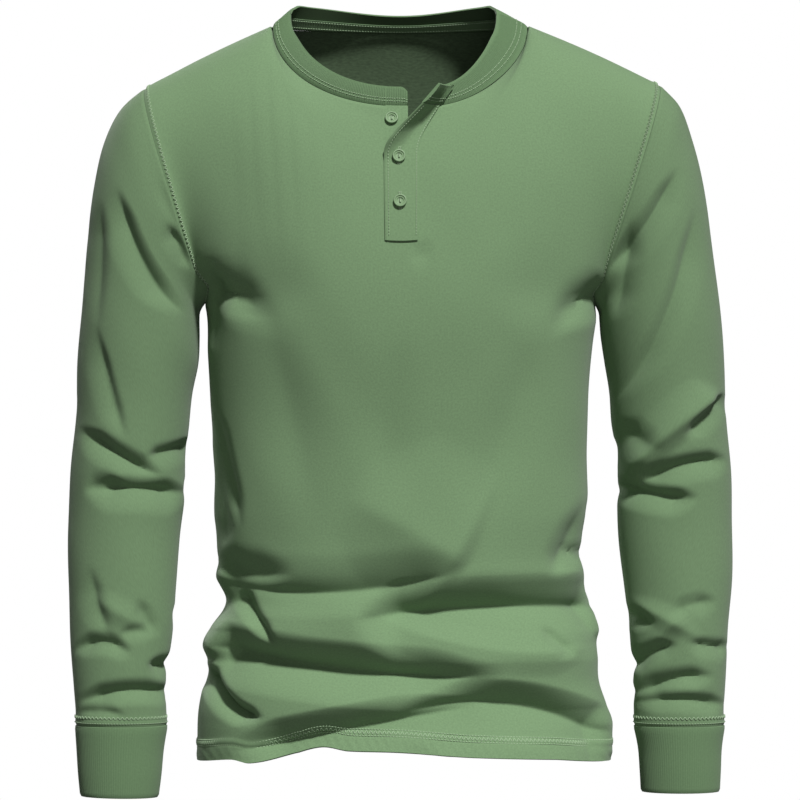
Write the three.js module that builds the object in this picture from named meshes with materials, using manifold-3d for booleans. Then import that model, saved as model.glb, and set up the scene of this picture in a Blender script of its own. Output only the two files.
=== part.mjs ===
// A long-sleeved henley shirt, filled out as it is worn, with open neck, hem, cuffs and armholes.
// Millimetres. +Z is up, the front faces -Y, and +X is the viewer's right when facing the front.
// The origin is the middle of the neck opening at shoulder height, where the wearer holds the shirt up.
import * as THREE from "three";
import { mergeVertices } from "three/addons/utils/BufferGeometryUtils.js";
import Module from "manifold-3d";

const wasm = await Module();
wasm.setup();

// Driving dimensions
const CLOTH = 1.5;
const RIB_CLOTH = 2;
const TAPE_CLOTH = 0.9;
const SEAM_GAP = 0.32;
const LAYER_GAP = 0.35;
const NECK_HALF_WIDTH = 115;
const NECK_DROP_FRONT = 77;
const NECK_DROP_BACK = 1;
const NECK_FRONT_DEPTH = 75;
const NECK_BACK_DEPTH = 61;
const SHOULDER_Y = 6;
const SHOULDER_TIP = { left: { x: -229, z: -57 }, right: { x: 233, z: -54 } };
const ARMPIT = { x: 179, z: -248 };
const HEM_Z = -660;
const ARMPIT_DIP = 46;
const ARMHOLE_BULGE = { front: 58, back: 66 };
const COLLAR_RISE = 17;
const COLLAR_LEAN = { left: 16, right: 28, front: 4, back: 12, flap: 14 };
const COLLAR_BACK_LIFT = 4.5;
const COLLAR_BACK_DROP = 3;
const COLLAR_EAR_DROP = 5;
const PLACKET = { left: -14, right: 16, bottom: -195, panelEdge: 16.4, standEdge: 8 };
const FLAP_OPEN = { shift: 46, lift: 23, from: -121, to: -56, reach: 122 };
const BUTTON = { radius: 5.8, thick: 2.7, rim: 1.3, holeRadius: 0.85, holeOffset: 1.5 };
const BUTTON_PLACES = [
  { name: "button_top", x: -8, z: -89, over: 0 },
  { name: "button_middle", x: -1, z: -123, over: 1 },
  { name: "button_bottom", x: 0, z: -163, over: 1 },
];

// The torso's sections from the underarm down: side edges, and front and back depth from the side seams.
const TORSO = [
  { z: -200, left: -186, right: 186, front: 121, back: 110 },
  { z: -248, left: -179, right: 179, front: 118, back: 107 },
  { z: -284, left: -173.5, right: 173.5, front: 115, back: 102 },
  { z: -330, left: -171, right: 169.5, front: 111, back: 97 },
  { z: -384, left: -169, right: 168, front: 108, back: 93 },
  { z: -440, left: -169.5, right: 169, front: 107, back: 93 },
  { z: -478, left: -164.5, right: 163.5, front: 108, back: 96 },
  { z: -499, left: -168.5, right: 168, front: 110, back: 99 },
  { z: -521, left: -157.5, right: 181, front: 111, back: 101 },
  { z: -543, left: -171, right: 183.5, front: 112, back: 103 },
  { z: -557, left: -177.5, right: 179, front: 112, back: 104 },
  { z: -571, left: -173, right: 178, front: 113, back: 104 },
  { z: -590, left: -176, right: 179, front: 113, back: 105 },
  { z: -612, left: -180.5, right: 186, front: 115, back: 107 },
  { z: -628, left: -182, right: 191.5, front: 117, back: 109 },
  { z: -660, left: -182, right: 189, front: 122, back: 113 },
];
const SECTION_POWER = 2.3;

// How high the hem's edge hangs along the front and the back.
const HEM_FRONT = [
  { x: -182, z: -660 },
  { x: -150, z: -655 },
  { x: -133, z: -657 },
  { x: -96, z: -647 },
  { x: -74, z: -642 },
  { x: -50, z: -645 },
  { x: 0, z: -646 },
  { x: 61, z: -650 },
  { x: 140, z: -654 },
  { x: 189, z: -660 },
];
const HEM_BACK = [
  { x: -182, z: -660 },
  { x: -90, z: -655 },
  { x: 10, z: -650 },
  { x: 110, z: -656 },
  { x: 189, z: -660 },
];

// The sleeves' sections from armhole to cuff seam: outer and inner edge, and middle and half depth.
const SLEEVE_LEFT = [
  { ox: -229, oz: -57, ix: -179, iz: -248, y: 4, half: 62 },
  { ox: -252, oz: -78, ix: -180, iz: -255, y: 2, half: 62 },
  { ox: -267, oz: -108, ix: -180.5, iz: -266, y: 0, half: 61 },
  { ox: -275, oz: -145, ix: -180.5, iz: -282, y: -2, half: 60 },
  { ox: -281, oz: -195, ix: -181.5, iz: -305, y: -4, half: 59 },
  { ox: -285, oz: -250, ix: -186, iz: -331, y: -6, half: 57 },
  { ox: -290, oz: -305, ix: -189, iz: -359, y: -7, half: 55 },
  { ox: -291, oz: -355, ix: -193, iz: -392, y: -9, half: 53 },
  { ox: -296, oz: -405, ix: -193, iz: -425, y: -12, half: 50 },
  { ox: -297, oz: -450, ix: -197.5, iz: -462, y: -16, half: 47 },
  { ox: -296, oz: -500, ix: -201, iz: -505, y: -22, half: 44 },
  { ox: -295, oz: -545, ix: -203.5, iz: -547, y: -28, half: 41 },
  { ox: -291.5, oz: -590, ix: -209, iz: -591, y: -33, half: 37 },
  { ox: -289, oz: -627, ix: -208, iz: -627, y: -36, half: 33 },
];
const SLEEVE_RIGHT = [
  { ox: 233, oz: -54, ix: 179, iz: -248, y: 4, half: 62 },
  { ox: 252, oz: -74, ix: 179.5, iz: -255, y: 2, half: 62 },
  { ox: 264, oz: -106, ix: 180, iz: -266, y: 0, half: 61 },
  { ox: 272.5, oz: -142, ix: 181, iz: -282, y: -2, half: 60 },
  { ox: 280, oz: -195, ix: 184, iz: -305, y: -4, half: 59 },
  { ox: 287, oz: -250, ix: 188, iz: -331, y: -6, half: 57 },
  { ox: 291, oz: -305, ix: 190, iz: -359, y: -7, half: 55 },
  { ox: 293, oz: -355, ix: 195, iz: -392, y: -9, half: 53 },
  { ox: 297, oz: -405, ix: 194.5, iz: -425, y: -12, half: 50 },
  { ox: 297, oz: -450, ix: 195.5, iz: -462, y: -16, half: 47 },
  { ox: 296.5, oz: -500, ix: 200, iz: -505, y: -22, half: 44 },
  { ox: 293, oz: -545, ix: 205, iz: -547, y: -28, half: 41 },
  { ox: 290.5, oz: -590, ix: 208, iz: -591, y: -33, half: 37 },
  { ox: 289, oz: -627, ix: 209, iz: -627, y: -36, half: 33 },
];
const CUFF_LEFT = [
  { ox: -289, oz: -627, ix: -208, iz: -627, y: -36, half: 33 },
  { ox: -287.5, oz: -648, ix: -211.5, iz: -649, y: -37.5, half: 31 },
  { ox: -286, oz: -670, ix: -213.5, iz: -671, y: -39, half: 29 },
  { ox: -284, oz: -690, ix: -216, iz: -691, y: -40, half: 27 },
];
const CUFF_RIGHT = [
  { ox: 289, oz: -627, ix: 209, iz: -627, y: -36, half: 33 },
  { ox: 286, oz: -647, ix: 213, iz: -647, y: -37.5, half: 31 },
  { ox: 285, oz: -667, ix: 214.5, iz: -667, y: -39, half: 29 },
  { ox: 284, oz: -686, ix: 215.5, iz: -686, y: -40, half: 27 },
];

// Folds, seen from the front: each runs from (x0, z0) to (x1, z1), bowed to its left, and is deepest there.
// Its wall on the left of the line is `up` wide and the one on the right is `down` wide.
// A ridge has a negative depth. A fold fades in over a share of its length, fade0, and out over fade1.
// Its crease is rounded off, and its walls ease in.
const CREASE_RADIUS = 5;
const WALL_POWER = 1.55;
const FRONT_FOLDS = [
  { x0: -174, z0: -556, x1: 96, z1: -581, bow: -7, up: 26, down: 35, depth: 21, fade0: 0.08, fade1: 0.38 },
  { x0: -37, z0: -528, x1: 193, z1: -524, bow: 5, up: 30, down: 35, depth: 24, fade0: 0.22, fade1: 0.06 },
  { x0: -148, z0: -648, x1: 79, z1: -604, bow: 3, up: 17, down: 54, depth: 14, fade0: 0.25, fade1: 0.35 },
  { x0: -7, z0: -614, x1: 194, z1: -637, bow: 22, up: 17, down: 54, depth: 14, fade0: 0.35, fade1: 0.1 },
  { x0: -172, z0: -499, x1: 67, z1: -483, bow: -15, up: 33, down: 23, depth: 13, fade0: 0.08, fade1: 0.25 },
  { x0: -169, z0: -485, x1: -91, z1: -488, bow: -4, up: 23, down: 17, depth: 7, fade0: 0.25, fade1: 0.5 },
  { x0: -21, z0: -388, x1: 65, z1: -481, bow: 0, up: 39, down: 32, depth: -8, fade0: 0.6, fade1: 0.08 },
  { x0: -152, z0: -505, x1: -112, z1: -555, bow: 2, up: 17, down: 17, depth: 8, fade0: 0.2, fade1: 0.35 },
  { x0: -173, z0: -576, x1: -120, z1: -618, bow: -11, up: 17, down: 17, depth: 11, fade0: 0.15, fade1: 0.3 },
  { x0: 169, z0: -422, x1: 134, z1: -494, bow: 2, up: 19, down: 18, depth: 7, fade0: 0.5, fade1: 0.25 },
  { x0: -191, z0: -199, x1: -111, z1: -260, bow: 0, up: 23, down: 23, depth: 13, fade0: 0.35, fade1: 0.25 },
  { x0: 187, z0: -213, x1: 132, z1: -267, bow: 0, up: 18, down: 18, depth: 10, fade0: 0.35, fade1: 0.25 },
];
const BACK_FOLDS = [
  { x0: -174, z0: -558, x1: 128, z1: -576, bow: -7, up: 26, down: 38, depth: 17, fade0: 0.08, fade1: 0.4 },
  { x0: -150, z0: -624, x1: 60, z1: -600, bow: 4, up: 17, down: 52, depth: 14, fade0: 0.3, fade1: 0.35 },
  { x0: -20, z0: -608, x1: 188, z1: -622, bow: 20, up: 17, down: 52, depth: 14, fade0: 0.35, fade1: 0.1 },
  { x0: -60, z0: -512, x1: 186, z1: -524, bow: -6, up: 30, down: 34, depth: 18, fade0: 0.35, fade1: 0.1 },
  { x0: -178, z0: -500, x1: 20, z1: -486, bow: -13, up: 32, down: 22, depth: 13, fade0: 0.08, fade1: 0.3 },
  { x0: -190, z0: -184, x1: -96, z1: -300, bow: 0, up: 30, down: 30, depth: 12, fade0: 0.4, fade1: 0.35 },
  { x0: 188, z0: -182, x1: 98, z1: -290, bow: 0, up: 30, down: 30, depth: 12, fade0: 0.4, fade1: 0.35 },
  { x0: 8, z0: -120, x1: -6, z1: -460, bow: 0, up: 50, down: 50, depth: 7, fade0: 0.5, fade1: 0.5 },
  { x0: 176, z0: -420, x1: 128, z1: -500, bow: 2, up: 18, down: 20, depth: 7, fade0: 0.4, fade1: 0.25 },
  { x0: -150, z0: -520, x1: -112, z1: -566, bow: 2, up: 17, down: 17, depth: 7, fade0: 0.2, fade1: 0.4 },
];
const SLEEVE_LEFT_FOLDS = [
  { x0: -252, z0: -147, x1: -190, z1: -263, bow: -11, up: 17, down: 21, depth: 10.8, fade0: 0.28, fade1: 0.3 },
  { x0: -210, z0: -183, x1: -183, z1: -220, bow: 4, up: 17, down: 17, depth: 7.6, fade0: 0.3, fade1: 0.3 },
  { x0: -272, z0: -266, x1: -242, z1: -375, bow: -3, up: 17, down: 17, depth: 6.5, fade0: 0.4, fade1: 0.3 },
  { x0: -288, z0: -362, x1: -208, z1: -407, bow: -2, up: 18, down: 17, depth: 11.9, fade0: 0.28, fade1: 0.3 },
  { x0: -281, z0: -418, x1: -189, z1: -421, bow: 4, up: 18, down: 21, depth: 13, fade0: 0.28, fade1: 0.2 },
  { x0: -226, z0: -388, x1: -183, z1: -377, bow: 0, up: 17, down: 17, depth: 7.6, fade0: 0.3, fade1: 0.2 },
  { x0: -292, z0: -560, x1: -235, z1: -564, bow: 10, up: 17, down: 17, depth: 8.6, fade0: 0.28, fade1: 0.3 },
  { x0: -226, z0: -571, x1: -192, z1: -581, bow: 2, up: 17, down: 17, depth: 9.7, fade0: 0.4, fade1: 0.2 },
  { x0: -288, z0: -606, x1: -198, z1: -599, bow: 8, up: 17, down: 17, depth: 10.8, fade0: 0.28, fade1: 0.2 },
];
const SLEEVE_RIGHT_FOLDS = [
  { x0: 178, z0: -225, x1: 249, z1: -129, bow: -6, up: 17, down: 19, depth: 9.7, fade0: 0.28, fade1: 0.3 },
  { x0: 190, z0: -341, x1: 264, z1: -160, bow: -13, up: 17, down: 20, depth: 8.6, fade0: 0.3, fade1: 0.3 },
  { x0: 192, z0: -268, x1: 205, z1: -172, bow: 0, up: 17, down: 18, depth: 7.6, fade0: 0.3, fade1: 0.4 },
  { x0: 198, z0: -409, x1: 287, z1: -329, bow: 4, up: 26, down: 17, depth: -8, fade0: 0.25, fade1: 0.15 },
  { x0: 251, z0: -370, x1: 292, z1: -332, bow: 0, up: 17, down: 17, depth: 8.6, fade0: 0.3, fade1: 0.2 },
  { x0: 206, z0: -414, x1: 294, z1: -391, bow: 7, up: 17, down: 17, depth: 11.9, fade0: 0.28, fade1: 0.2 },
  { x0: 183, z0: -410, x1: 267, z1: -425, bow: -4, up: 17, down: 17, depth: 13, fade0: 0.28, fade1: 0.3 },
  { x0: 192, z0: -355, x1: 235, z1: -384, bow: -3, up: 23, down: 19, depth: 6.5, fade0: 0.4, fade1: 0.4 },
  { x0: 238, z0: -529, x1: 283, z1: -516, bow: 4, up: 17, down: 17, depth: 6.5, fade0: 0.3, fade1: 0.35 },
  { x0: 190, z0: -524, x1: 228, z1: -536, bow: 0, up: 17, down: 17, depth: 6.5, fade0: 0.28, fade1: 0.4 },
  { x0: 201, z0: -580, x1: 249, z1: -554, bow: 7, up: 17, down: 17, depth: 8.6, fade0: 0.28, fade1: 0.35 },
  { x0: 253, z0: -552, x1: 294, z1: -558, bow: 0, up: 17, down: 17, depth: 7.6, fade0: 0.4, fade1: 0.2 },
  { x0: 206, z0: -599, x1: 281, z1: -583, bow: 7, up: 17, down: 17, depth: 9.7, fade0: 0.28, fade1: 0.3 },
  { x0: 206, z0: -606, x1: 292, z1: -609, bow: 5, up: 17, down: 17, depth: 8.6, fade0: 0.3, fade1: 0.2 },
];
const HIDDEN_SIDE_SHARE = 0.8;

// Grid density
const SIDE_COLUMNS = 8;
const FRONT_NECK_COLUMNS = 15;
const BACK_NECK_COLUMNS = 10;
const NECK_SHARE = 0.5;
const ARMHOLE_ROWS = 11;
const TAPE_ROW = 1.965;
const HEM_ROWS = 19;
const WAIST_ROWS = 8;
const WAIST_AT = 0.43;
const SLEEVE_ROWS = 25;
const CUFF_ROWS = 3;

const COLOURS = { cloth: 0x7e9a74, rib: 0x76936c, tape: 0x5c7653, button: 0x93ad87 };

// Small numeric helpers
const clamp = (t, low = 0, high = 1) => Math.min(high, Math.max(low, t));
const mix = (a, b, t) => a + (b - a) * t;
const smooth = (t) => clamp(t) ** 2 * (3 - 2 * clamp(t));
const vec = (x, y, z) => new THREE.Vector3(x, y, z);

// The value of one column of a table at a place along it, on a smooth curve through the rows.
function curveThrough(values, at) {
  const last = values.length - 1;
  const k = Math.min(last - 1, Math.floor(clamp(at, 0, last)));
  const t = clamp(at, 0, last) - k;
  const [a, b] = [values[k], values[k + 1]];
  const before = k > 0 ? values[k - 1] : 2 * a - b;
  const after = k < last - 1 ? values[k + 2] : 2 * b - a;
  return (
    0.5 *
    (2 * a +
      (b - before) * t +
      (2 * before - 5 * a + 4 * b - after) * t * t +
      (3 * a - before - 3 * b + after) * t ** 3)
  );
}

// The place along a table where its key column has a value, the key falling or rising all the way.
function placeOf(table, key, value) {
  const rising = table[table.length - 1][key] > table[0][key];
  let k = 0;
  while (k < table.length - 2 && table[k + 1][key] < value === rising) k += 1;
  return k + clamp((value - table[k][key]) / (table[k + 1][key] - table[k][key]));
}

function lookUp(table, key, value, column) {
  return curveThrough(
    table.map((row) => row[column]),
    placeOf(table, key, value),
  );
}

// How far the cloth is pressed in at a place seen from the front, by one fold.
function foldDepth(fold, x, z) {
  const along = { x: fold.x1 - fold.x0, z: fold.z1 - fold.z0 };
  const length = Math.hypot(along.x, along.z);
  const t = ((x - fold.x0) * along.x + (z - fold.z0) * along.z) / length ** 2;
  if (t <= 0 || t >= 1) return 0;
  const side = ((z - fold.z0) * along.x - (x - fold.x0) * along.z) / length;
  const off = side - fold.bow * 4 * t * (1 - t);
  const fade = smooth(t / fold.fade0) * smooth((1 - t) / fold.fade1);
  const width = (off > 0 ? fold.up : fold.down) * (0.45 + 0.55 * fade);
  const away = Math.hypot(off, CREASE_RADIUS) - CREASE_RADIUS;
  return away >= width ? 0 : fold.depth * fade * (1 - away / width) ** WALL_POWER;
}

const foldsAt = (folds, x, z) => folds.reduce((sum, fold) => sum + foldDepth(fold, x, z), 0);

const mirrored = (folds) =>
  folds.map((f) => ({
    ...f,
    x0: -f.x0,
    x1: -f.x1,
    bow: -f.bow,
    up: f.down,
    down: f.up,
    depth: f.depth * HIDDEN_SIDE_SHARE,
  }));

// A point of the torso's section at height z. u runs from -1 at the left side seam to 1 at the right one.
function sectionPoint(side, u, z) {
  const at = placeOf(TORSO, "z", z);
  const column = (name) =>
    curveThrough(
      TORSO.map((row) => row[name]),
      at,
    );
  const [left, right] = [column("left"), column("right")];
  const half = (right - left) / 2;
  const depth = column(side);
  const angle = (u * Math.PI) / 2;
  const [s, c] = [Math.sin(angle), Math.cos(angle)];
  const reach =
    ((Math.abs(s) / half) ** SECTION_POWER + (Math.abs(c) / depth) ** SECTION_POWER) **
    (-1 / SECTION_POWER);
  return vec((left + right) / 2 + reach * s, (side === "front" ? -1 : 1) * reach * c, z);
}

// The top edge of a panel: its neckline in the middle and its shoulder seams outside.
function topEdge(side, u) {
  const across = Math.abs(u);
  if (across <= NECK_SHARE) {
    const share = across / NECK_SHARE;
    const x = Math.abs(sectionPoint(side, u, -270).x);
    const reach = mix(x, NECK_HALF_WIDTH * Math.sin((share * Math.PI) / 2), share ** 2);
    const round = Math.sqrt(Math.max(0, 1 - (reach / NECK_HALF_WIDTH) ** 2));
    const depth = side === "front" ? -NECK_FRONT_DEPTH : NECK_BACK_DEPTH;
    const drop = side === "front" ? NECK_DROP_FRONT : NECK_DROP_BACK;
    return vec(Math.sign(u) * reach, SHOULDER_Y + depth * round, -drop * round);
  }
  const tip = u < 0 ? SHOULDER_TIP.left : SHOULDER_TIP.right;
  const out = (across - NECK_SHARE) / (1 - NECK_SHARE);
  return vec(
    mix(Math.sign(u) * NECK_HALF_WIDTH, tip.x, out),
    mix(SHOULDER_Y, 2, out),
    mix(0, tip.z, out) + 2 * Math.sin(Math.PI * out),
  );
}

// The panel before it is evened out: v is 0 at the hem, 1 at the underarm and 2 at the top edge.
function panelRaw(side, u, v) {
  const turn = side === "front" ? -1 : 1;
  const inside = 1 - Math.abs(u) ** 3;
  if (v <= 1) {
    const hem = side === "front" ? HEM_FRONT : HEM_BACK;
    const z = mix(HEM_Z, ARMPIT.z, v);
    const lift = lookUp(hem, "x", sectionPoint(side, u, HEM_Z).x, "z") - HEM_Z;
    return sectionPoint(side, u, z + lift * (1 - v) ** 8 - ARMPIT_DIP * inside * v * v);
  }
  const w = v - 1;
  const z = ARMPIT.z - ARMPIT_DIP * inside;
  const start = sectionPoint(side, u, z);
  const end = topEdge(side, u);
  const span = start.distanceTo(end);
  const toArm = Math.abs(u) ** 8;
  const rise = sectionPoint(side, u, z + 6).sub(sectionPoint(side, u, z - 6));
  const bulge = ARMHOLE_BULGE[side] * 4;
  const out = Math.sign(u);
  const leave = rise.multiplyScalar((1.05 * span) / 12).lerp(vec(-30 * out, turn * bulge, 0), toArm);
  const share = clamp(Math.abs(u) / NECK_SHARE);
  const atNeck = vec(0, turn * -80, 170).lerp(vec(0, turn * -230, 20), share ** 2);
  const arrive = atNeck.lerp(vec(-35 * out, turn * -bulge, 0), toArm);
  return start
    .multiplyScalar(2 * w ** 3 - 3 * w ** 2 + 1)
    .add(leave.multiplyScalar(w ** 3 - 2 * w ** 2 + w))
    .add(end.multiplyScalar(3 * w ** 2 - 2 * w ** 3))
    .add(arrive.multiplyScalar(w ** 3 - w ** 2));
}

// The smooth panel, without folds. The upper chest and back are evened out across.
const EVENING = { step: 0.078, shares: [1, 8, 28, 56, 70, 56, 28, 8, 1] };
function panelBase(side, u, v) {
  const calm = clamp((1 - Math.abs(u)) / 0.32) * smooth((v - 1) / 0.35) * smooth((2 - v) / 0.3);
  if (calm === 0) return panelRaw(side, u, v);
  const { step, shares } = EVENING;
  const middle = (shares.length - 1) / 2;
  const total = shares.reduce((sum, share) => sum + share, 0);
  return shares.reduce(
    (sum, share, k) =>
      sum.addScaledVector(panelRaw(side, u + (k - middle) * step * calm, v), share / total),
    vec(0, 0, 0),
  );
}

// The level direction that points out of the torso, from a place on it.
const outOfTorso = (p) => vec(p.x / 175 ** 2, p.y / 110 ** 2, 0).normalize();

// The open top of the placket: cloth at a distance right of its free edge swings right and forward.
function openFlap(p, fromEdge) {
  const open = smooth((p.z - FLAP_OPEN.from) / (FLAP_OPEN.to - FLAP_OPEN.from));
  const width = PLACKET.right - PLACKET.left;
  const swing = clamp(1 - fromEdge / FLAP_OPEN.reach) ** 2;
  const lift = clamp(1 - fromEdge / width) ** 1.2;
  return p.add(vec(FLAP_OPEN.shift * open * swing, -FLAP_OPEN.lift * open * lift, 0));
}

// A point of the front or back panel with its folds. Front and back folds meet half and half at the side seams.
function panelPoint(side, u, v) {
  const p = panelBase(side, u, v);
  const own = 0.5 + 0.5 * smooth((1 - Math.abs(u)) / 0.15);
  const frontShare = side === "front" ? own : 1 - own;
  const press =
    frontShare * foldsAt(FRONT_FOLDS, p.x, p.z) +
    (1 - frontShare) * foldsAt(BACK_FOLDS, p.x, p.z);
  p.addScaledVector(outOfTorso(p), -press);
  if (side === "front" && u > placketColumns.right) return openFlap(p, p.x - PLACKET.left);
  return p;
}

// The sleeve's edge at its armhole. turn is 0 underarm, 1 at the shoulder tip over the front, 2 underarm again.
const armholePoint = (out, turn) =>
  turn <= 1 ? panelPoint("front", out, 1 + turn) : panelPoint("back", out, 3 - turn);

// A point of a tube whose sections are rows of a table: along is 0 to 1, and turn goes round as at the armhole.
function tubePoint(table, along, turn) {
  const at = along * (table.length - 1);
  const column = (name) =>
    curveThrough(
      table.map((row) => row[name]),
      at,
    );
  const inner = vec(column("ix"), column("y"), column("iz"));
  const outer = vec(column("ox"), column("y"), column("oz"));
  const angle = Math.PI * turn;
  return inner
    .clone()
    .add(outer)
    .multiplyScalar(0.5)
    .addScaledVector(inner.sub(outer), 0.5 * Math.cos(angle))
    .add(vec(0, -column("half") * Math.sin(angle), 0));
}

function sleevePoint(table, folds, hiddenFolds, along, turn) {
  const out = Math.sign(table[0].ox);
  const p = tubePoint(table, along, turn);
  const fit = 1 - smooth(along / 0.13);
  if (fit > 0) p.add(armholePoint(out, turn).sub(tubePoint(table, 0, turn)).multiplyScalar(fit));
  const middle = tubePoint(table, along, 0).add(tubePoint(table, along, 1)).multiplyScalar(0.5);
  const front = smooth((middle.y - p.y) / 24 + 0.5);
  const press =
    front * foldsAt(folds, p.x, p.z) + (1 - front) * foldsAt(hiddenFolds, p.x, p.z);
  const ends = smooth(along / 0.05) * smooth((1 - along) / 0.03);
  const level = vec(p.x - middle.x, p.y - middle.y, 0).normalize();
  return p.addScaledVector(level, -press * ends);
}

// A grid of points, rows first, from lists of row and column values.
const gridOf = (rows, columns, point) => rows.map((r) => columns.map((c) => point(r, c)));
const spread = (count, low = 0, high = 1) =>
  Array.from({ length: count + 1 }, (_, k) => mix(low, high, k / count));

// The value in a list that is nearest to one given is moved onto it.
function snapped(list, value) {
  const gaps = list.map((item) => Math.abs(item - value));
  return list.with(gaps.indexOf(Math.min(...gaps)), value);
}

// The parameter at which a falling or rising function reaches a value.
function solve(f, value, low, high) {
  const rising = f(high) > f(low);
  let [a, b] = [low, high];
  for (let k = 0; k < 50; k += 1) {
    const middle = (a + b) / 2;
    if (f(middle) < value === rising) a = middle;
    else b = middle;
  }
  return (a + b) / 2;
}

const columnAt = (x) => solve((u) => panelBase("front", u, 1.7).x, x, -0.5, 0.5);
const rowAt = (z) => solve((v) => panelBase("front", 0, v).z, z, 1, 2);

// A wall is a grid with a thickness. `flip` turns its faces, `wrap` closes it round, `hole` leaves out cells.
const walls = [];
function addWall(name, grid, options) {
  walls.push({ name, grid, thick: CLOTH, flip: false, wrap: false, hole: () => false, ...options });
}

function cellsOf(wall) {
  const [rows, columns] = [wall.grid.length, wall.grid[0].length];
  const cells = [];
  for (let r = 0; r < rows - 1; r += 1)
    for (let c = 0; c < (wall.wrap ? columns : columns - 1); c += 1)
      if (!wall.hole(r, c)) cells.push([r, c]);
  return cells;
}

function cornersOf(wall, [r, c]) {
  const next = (c + 1) % wall.grid[0].length;
  const ring = [
    [r, c],
    [r, next],
    [r + 1, next],
    [r + 1, c],
  ];
  return wall.flip ? ring.reverse() : ring;
}

const pointKey = (p) => [p.x, p.y, p.z].map((x) => Math.round(x * 50)).join(",");

// Each grid point's outward direction, from the cells round it.
function gridNormals(wall) {
  const normals = wall.grid.map((row) => row.map(() => vec(0, 0, 0)));
  for (const cell of cellsOf(wall)) {
    const ring = cornersOf(wall, cell);
    const [a, b, c, d] = ring.map(([r, k]) => wall.grid[r][k]);
    const face = c.clone().sub(a).cross(d.clone().sub(b));
    for (const [r, k] of ring) normals[r][k].add(face);
  }
  normals.forEach((row) => row.forEach((n) => n.normalize()));
  return normals;
}

// The points that two or more walls share are seam points, and get one direction between them.
function seamDirections() {
  const seams = new Map();
  for (const wall of walls) {
    wall.normals = gridNormals(wall);
    wall.grid.forEach((row, r) =>
      row.forEach((p, c) => {
        if (wall.normals[r][c].lengthSq() === 0) return;
        const entry = seams.get(pointKey(p)) ?? { sum: vec(0, 0, 0), count: 0 };
        entry.sum.add(wall.normals[r][c]);
        entry.count += 1;
        seams.set(pointKey(p), entry);
      }),
    );
  }
  return seams;
}

// The grid direction that leads from an edge point into its own wall.
function inward(wall, r, c) {
  const p = wall.grid[r][c];
  const used = new Set(cellsOf(wall).flatMap((cell) => cornersOf(wall, cell).map(String)));
  const step = vec(0, 0, 0);
  const columns = wall.grid[0].length;
  const sideways = wall.wrap ? [] : [-1, 1];
  for (const [dr, dc] of [[-1, 0], [1, 0], ...sideways.map((k) => [0, k])]) {
    const key = [r + dr, (c + dc + columns) % columns];
    const inRange = key[0] >= 0 && key[0] < wall.grid.length && c + dc >= 0 && c + dc < columns;
    if (!inRange || !used.has(String(key))) continue;
    const back = [r - dr, c - dc];
    const open = !used.has(String(back));
    if (open) step.add(wall.grid[key[0]][key[1]].clone().sub(p).normalize());
  }
  return step;
}

// The outer and inner corner points of a wall, parted from its neighbours at seams. Where a seam lies in a crease
// the inner faces part by themselves, and elsewhere they meet on a mitre.
function wallLayers(wall, seams) {
  const outer = wall.grid.map((row) => row.map((p) => p.clone()));
  const inner = wall.grid.map((row, r) =>
    row.map((p, c) => {
      const own = wall.normals[r][c];
      const { sum, count } = seams.get(pointKey(p)) ?? { sum: own, count: 1 };
      const others = sum.clone().sub(own);
      const inCrease = count > 1 && inward(wall, r, c).dot(others) > 0.15;
      if (inCrease) return p.clone().addScaledVector(own, -wall.thick);
      const spreadShare = clamp(sum.length() / count, 0.45, 1);
      return p.clone().addScaledVector(sum.clone().normalize(), -wall.thick / spreadShare);
    }),
  );
  wall.grid.forEach((row, r) =>
    row.forEach((p, c) => {
      const seam = seams.get(pointKey(p));
      if ((seam?.count ?? 1) < 2) return;
      const step = inward(wall, r, c).projectOnPlane(seam.sum.clone().normalize());
      step.setLength(SEAM_GAP / 2);
      outer[r][c].add(step);
      inner[r][c].add(step);
    }),
  );
  return { outer, inner };
}

// The closed mesh of a wall: outer cells, inner cells turned round, and a rim along every open edge.
function wallGeometry(wall, seams) {
  const { outer, inner } = wallLayers(wall, seams);
  const columns = wall.grid[0].length;
  const size = wall.grid.length * columns;
  const index = (layer, [r, c]) => layer * size + r * columns + c;
  const faces = [];
  const edges = new Map();
  for (const cell of cellsOf(wall)) {
    const ring = cornersOf(wall, cell);
    const [a, b, c, d] = ring.map((corner) => outer[corner[0]][corner[1]]);
    const across = a.distanceTo(c) <= b.distanceTo(d);
    const order = across ? [0, 1, 2, 0, 2, 3] : [1, 2, 3, 1, 3, 0];
    faces.push(...order.map((k) => index(0, ring[k])));
    faces.push(...order.toReversed().map((k) => index(1, ring[k])));
    ring.forEach((corner, k) => {
      const next = ring[(k + 1) % 4];
      const back = `${next}|${corner}`;
      if (edges.has(back)) edges.delete(back);
      else edges.set(`${corner}|${next}`, [corner, next]);
    });
  }
  for (const [a, b] of edges.values()) {
    faces.push(index(0, b), index(0, a), index(1, a), index(0, b), index(1, a), index(1, b));
  }
  const positions = [outer, inner].flatMap((layer) =>
    layer.flatMap((row) => row.flatMap((p) => [p.x, p.y, p.z])),
  );
  const geometry = new THREE.BufferGeometry();
  geometry.setAttribute("position", new THREE.Float32BufferAttribute(positions, 3));
  geometry.setIndex(faces);
  return geometry;
}

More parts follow.
